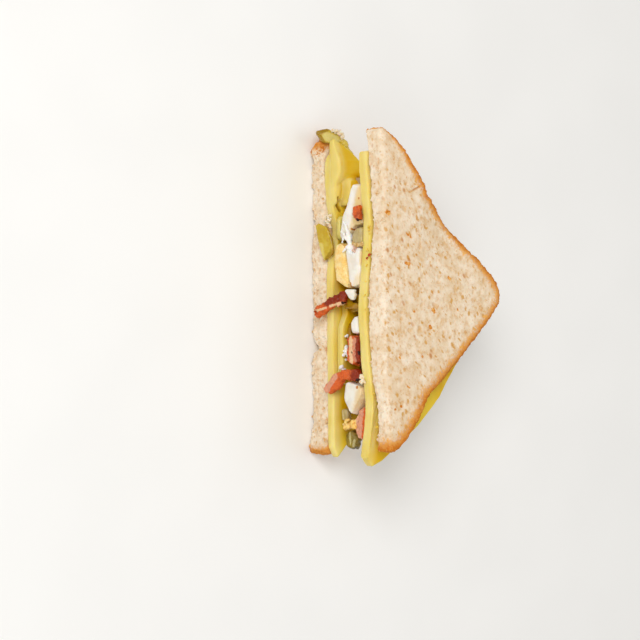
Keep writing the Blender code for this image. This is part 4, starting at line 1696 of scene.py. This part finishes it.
class Scraps:
    """The heap behind the pieces, and the small things that lie on them: sauce, crumbs and bits."""

    HEAP = (
        Relief(1.6 * MM, 4.5 * MM), Relief(0.9 * MM, 2.2 * MM, pattern=Pattern.CELLS),
        Relief(0.3 * MM, 0.9 * MM, seed=2),
    )
    SMOOTH = (Relief(0.5 * MM, 2.0 * MM),)
    SAUCE = (
        Trail((
            (-34.0, 0.0, 29.4, 0.9), (-29.6, 0.2, 30.2, 1.7), (-25.4, 0.8, 31.6, 2.3),
            (-22.4, 0.9, 32.6, 1.9),
        )),
        Trail(((-33.4, -0.9, 25.6, 0.5), (-32.0, -0.9, 27.8, 0.6), (-28.0, -0.9, 26.2, 0.5))),
        Trail(((-32.0, -0.9, 27.8, 0.6), (-29.4, -1.0, 29.4, 0.8))),
        Trail(((-25.6, -1.0, 30.0, 0.7), (-24.2, -1.0, 28.4, 0.5), (-23.0, -1.0, 26.6, 0.4))),
        Trail(((-38.4, -0.1, 26.4, 0.7), (-36.4, -0.3, 28.0, 0.7), (-34.2, -0.4, 28.8, 0.7))),
    )
    TAIL = (Trail((
        (-80.8, 9.2, 12.2, 2.0), (-78.6, 11.6, 12.2, 2.2), (-76.6, 13.0, 12.3, 2.1),
        (-74.6, 14.4, 12.3, 1.9), (-72.6, 16.0, 12.2, 1.5),
    )),)
    TINTED = (Trail(((-27.0, 0.6, 33.6, 1.3), (-26.6, 0.4, 37.6, 1.4), (-26.8, 0.4, 41.4, 1.4))),)
    WHITE_BITS = (
        (25.4, 2.6, 24.8, 1.6), (27.4, 2.0, 25.2, 1.5), (24.2, 2.0, 26.0, 1.3), (26.2, 1.6, 27.2, 1.4),
        (34.0, 1.4, 24.0, 1.6), (35.4, 1.6, 24.2, 1.4), (18.2, 3.0, 24.8, 1.0), (30.0, 3.0, 24.6, 0.9),
    )
    CREAM_BITS = (
        (38.6, -1.4, 42.4, 1.4), (40.2, -1.6, 43.4, 1.5), (39.4, -1.0, 42.6, 1.3),
        (-41.0, -0.6, 14.6, 1.1), (-39.6, -0.9, 16.0, 1.0), (-38.4, -0.8, 14.0, 1.2),
        (-37.2, -1.0, 15.6, 0.9), (-42.0, -0.4, 16.4, 0.8), (-36.0, -0.8, 17.0, 0.8),
        (-40.4, -0.6, 12.6, 0.9), (-38.0, -0.6, 12.0, 0.7),
        (-86.0, 3.6, 13.4, 1.0), (-85.4, 5.6, 13.6, 1.2), (-84.6, 7.6, 13.6, 1.3), (-83.2, 8.6, 13.6, 1.2),
        (-84.6, 4.8, 14.0, 1.0), (-83.6, 6.6, 14.2, 1.1), (-82.0, 8.8, 14.0, 1.0), (-85.0, 2.6, 13.4, 0.7),
    )
    YOLK_BITS = (
        (60.4, 0.2, 28.0, 1.5), (62.6, 0.4, 29.4, 1.8), (61.6, 0.6, 31.8, 1.6), (63.8, 1.0, 27.0, 1.3),
        (60.2, 0.8, 33.6, 1.3), (63.0, 0.6, 34.4, 1.4),
    )
    CHEESE_BITS = (
        (-34.6, -0.7, 46.6, 0.7), (-33.0, -0.8, 47.0, 0.8), (-31.4, -0.7, 46.8, 0.6),
        (-23.4, -0.7, 45.6, 0.7), (-15.6, -0.6, 44.6, 0.8), (-1.0, -0.5, 43.2, 0.6),
        (62.4, -0.6, 52.4, 0.7), (46.4, -0.8, 50.8, 0.5), (-8.0, -0.5, 43.6, 0.6), (6.0, -0.5, 43.0, 0.5),
    )
    RED_BITS = ((-20.8, -0.8, 47.4, 0.6), (-19.2, -0.8, 45.6, 0.7), (44.6, -1.0, 17.6, 0.5))
    PINK_BITS = ((-25.6, -0.9, 35.6, 0.9), (-24.4, -1.0, 36.0, 1.0), (-23.2, -0.9, 35.4, 0.8))
    CORE = Chunk("filling_core", reliefs=HEAP, cell=0.6 * MM, passes=3)
    SEED = 7
    BITS_IN_A_CLUSTER = 3

    def build(self) -> None:
        """Makes the heap, then the small things."""
        # The heap's dark amber is partly painted shade, for the shaded gaps between the pieces where it
        # shows.
        heap = PlainFinish("chopped_filling", "EBD088", "B4841A", 0.45).material()
        self.CORE.shaped().dress(heap, Slot.FILLING, self.CORE.node)
        draw = random.Random(self.SEED)
        white = EggWhiteFinish("sauce_white", "F9F7F2", "F1EDE4").material()
        self.add("mayonnaise_strands", self.chained(draw, self.SAUCE), white, Slot.EGG_WHITE, self.SMOOTH)
        self.add("white_bits", self.bits(draw, self.WHITE_BITS), white, Slot.EGG_WHITE, self.SMOOTH)
        cream = PlainFinish("cream_crumbs", "F3E7D0", "DFC49A", 0.8).material()
        self.add("cream_crumbs", self.bits(draw, self.CREAM_BITS), cream, Slot.CRUMB)
        yolk = YolkFinish("crumbled_yolk", "FCD98A", "EDB44C", "C87A18").material()
        self.add("yolk_bits", self.bits(draw, self.YOLK_BITS), yolk, Slot.EGG_YOLK, self.SMOOTH)
        tan = PlainFinish("tinted_sauce", "DDBE84", "BC8A3C", 0.45).material()
        self.add("tinted_sauce", self.chained(draw, self.TINTED), tan, Slot.FILLING)
        clear = PickleFinish("pickle_tail", "DCC660", "CDAE38", "9C7802", "E4D488").material()
        self.add("pickle_tail", self.chained(draw, self.TAIL), clear, Slot.PICKLE, self.SMOOTH)
        yellow = PlainFinish("cheese_crumbs", "F2D468", "DDB024", 0.5).material()
        self.add("cheese_bits", self.bits(draw, self.CHEESE_BITS), yellow, Slot.CHEESE)
        red = PlainFinish("bacon_crumbs", "C8481C", "8E2408", 0.4).material()
        self.add("bacon_bits", self.bits(draw, self.RED_BITS), red, Slot.BACON)
        pink = PlainFinish("bacon_fat_scrap", "E2C0AC", "D2A48C", 0.4).material()
        self.add("bacon_fat_bits", self.bits(draw, self.PINK_BITS), pink, Slot.BACON)

    @staticmethod
    def chained(draw: random.Random, trails: tuple[Trail, ...]) -> list[Lump]:
        """The lumps of several trails."""
        return [lump for trail in trails for lump in trail.lumps(draw)]

    @classmethod
    def bits(cls, draw: random.Random, rows: tuple[tuple[float, float, float, float], ...]) -> list[Lump]:
        """Sets a tight cluster of small lumps at each place.

        Args:
            draw: The source of random numbers.
            rows: The places and sizes (x, depth behind the cut, z, half width) in millimetres.

        Returns:
            The lumps.
        """
        lumps = []
        for x, d, z, size in rows:
            for _ in range(cls.BITS_IN_A_CLUSTER):
                place = [c + draw.uniform(-0.6, 0.6) * size for c in (x, d, z)]
                place = (place[0] * MM, place[1] * MM + CUT_Y, place[2] * MM)
                lumps.append(Lump.at(draw, place, size * 0.7 * MM))
        return lumps

    @staticmethod
    def add(
        name: str, lumps: list[Lump], material: bpy.types.Material, slot: Slot,
        reliefs: tuple[Relief, ...] = (Relief(1.1 * MM, 1.1 * MM), Relief(0.5 * MM, 0.5 * MM, seed=3))
    ) -> None:
        """Fuses lumps into one uneven piece.

        Args:
            name: The piece's name.
            lumps: The lumps.
            material: The finish.
            slot: The slot for it, passed on to dress.
            reliefs: The piece's unevenness.
        """
        piece = Piece.from_lumps(name, lumps).voxels(0.22 * MM, 1)
        piece.uneven(*reliefs)
        piece.dress(material, slot)


# ---------------------------------------------------------------------------------- studio


@dataclass(frozen=True)
class Lamp:
    """A soft square light aimed at the sandwich: its place and side in metres, its power in watts."""

    name: str
    place: Point
    side: float
    power: float


@dataclass
class Studio:
    """A pale floor, soft lights and the camera."""

    lamps: tuple[Lamp, ...] = (
        Lamp("key", (-0.42, -0.8, 0.95), 0.6, 8.4),
        Lamp("fill", (0.6, -0.5, 0.7), 0.8, 2.0),
        Lamp("top", (0.0, 0.5, 1.1), 0.8, 2.6),
    )
    aim: Point = (0.0, 0.0, 0.02)
    sky: Colour = (1.0, 0.985, 0.96, 1.0)
    sky_strength: float = 0.4
    camera_place: Point = (0.02638, -0.58006, 0.71652)
    camera_forward: Point = (-0.01791, 0.61402, -0.78908)
    camera_up: Point = (-0.99984, -0.01105, 0.01410)
    picture: float = 640.0  # the picture's width, and the focal length in the same unit
    focal: float = 1781.6
    clipping: Span = (0.01, 20.0)
    floor_half: float = 3.0
    floor_drop: float = 0.02 * MM

    def build(self) -> None:
        """Makes the floor, the lights and the camera."""
        self.add_floor()
        for lamp in self.lamps:
            self.add_light(lamp)
        world = bpy.data.worlds.new("studio")
        world.use_nodes = True
        background = world.node_tree.nodes["Background"]
        background.inputs["Color"].default_value = self.sky
        background.inputs["Strength"].default_value = self.sky_strength
        bpy.context.scene.world = world
        bpy.context.scene.view_settings.view_transform = "Standard"
        self.add_camera()

    def add_floor(self) -> None:
        """Lays the floor just under the resting slice."""
        deselect_all()
        low = (0.0, 0.0, -self.floor_drop)
        bpy.ops.mesh.primitive_plane_add(size=self.floor_half * 2.0, location=low)
        floor = bpy.context.object
        floor.name = "floor"
        graph = Graph("pale_floor")
        shade = graph.noise(60.0, 1.0)
        base = graph.mix(shade.ramp(0.3, 0.7), srgb("F8F7F4"), srgb("F6F5F2"))
        matt = Flesh(0.0, (1.0, 1.0, 1.0), 1.0, 0.2)
        floor.data.materials.append(graph.surface(base, 0.7, graph.bump(shade, 0.01, 0.1), matt))

    def add_light(self, lamp: Lamp) -> None:
        """Adds one light.

        Args:
            lamp: The light.
        """
        data = bpy.data.lights.new(lamp.name, "AREA")
        data.size = lamp.side
        data.energy = lamp.power
        light = bpy.data.objects.new(lamp.name, data)
        light.location = lamp.place
        light.rotation_mode = "QUATERNION"
        light.rotation_quaternion = (Vector(self.aim) - Vector(lamp.place)).to_track_quat("-Z", "Y")
        bpy.context.scene.collection.objects.link(light)

    def add_camera(self) -> None:
        """Sets the camera at its place, rolled so that the cut runs down the picture."""
        data = bpy.data.cameras.new("camera")
        data.sensor_fit = "HORIZONTAL"
        data.angle = 2.0 * math.atan(self.picture / 2.0 / self.focal)
        data.clip_start, data.clip_end = self.clipping
        camera = bpy.data.objects.new("camera", data)
        back = -Vector(self.camera_forward).normalized()
        up = Vector(self.camera_up)
        up = (up - back * up.dot(back)).normalized()
        turn = Matrix((up.cross(back), up, back)).transposed().to_4x4()
        camera.matrix_world = Matrix.Translation(self.camera_place) @ turn
        bpy.context.scene.collection.objects.link(camera)
        bpy.context.scene.camera = camera


def main() -> None:
    """Builds the sandwich piece by piece, then the studio."""
    logging.basicConfig(level=logging.INFO, format="%(message)s")
    for part in (Breads(), Cheeses(), Eggs(), Rashers(), Pickles(), Scraps(), Studio()):
        LOG.info("making %s", type(part).__name__)
        part.build()


if __name__ == "__main__":
    main()
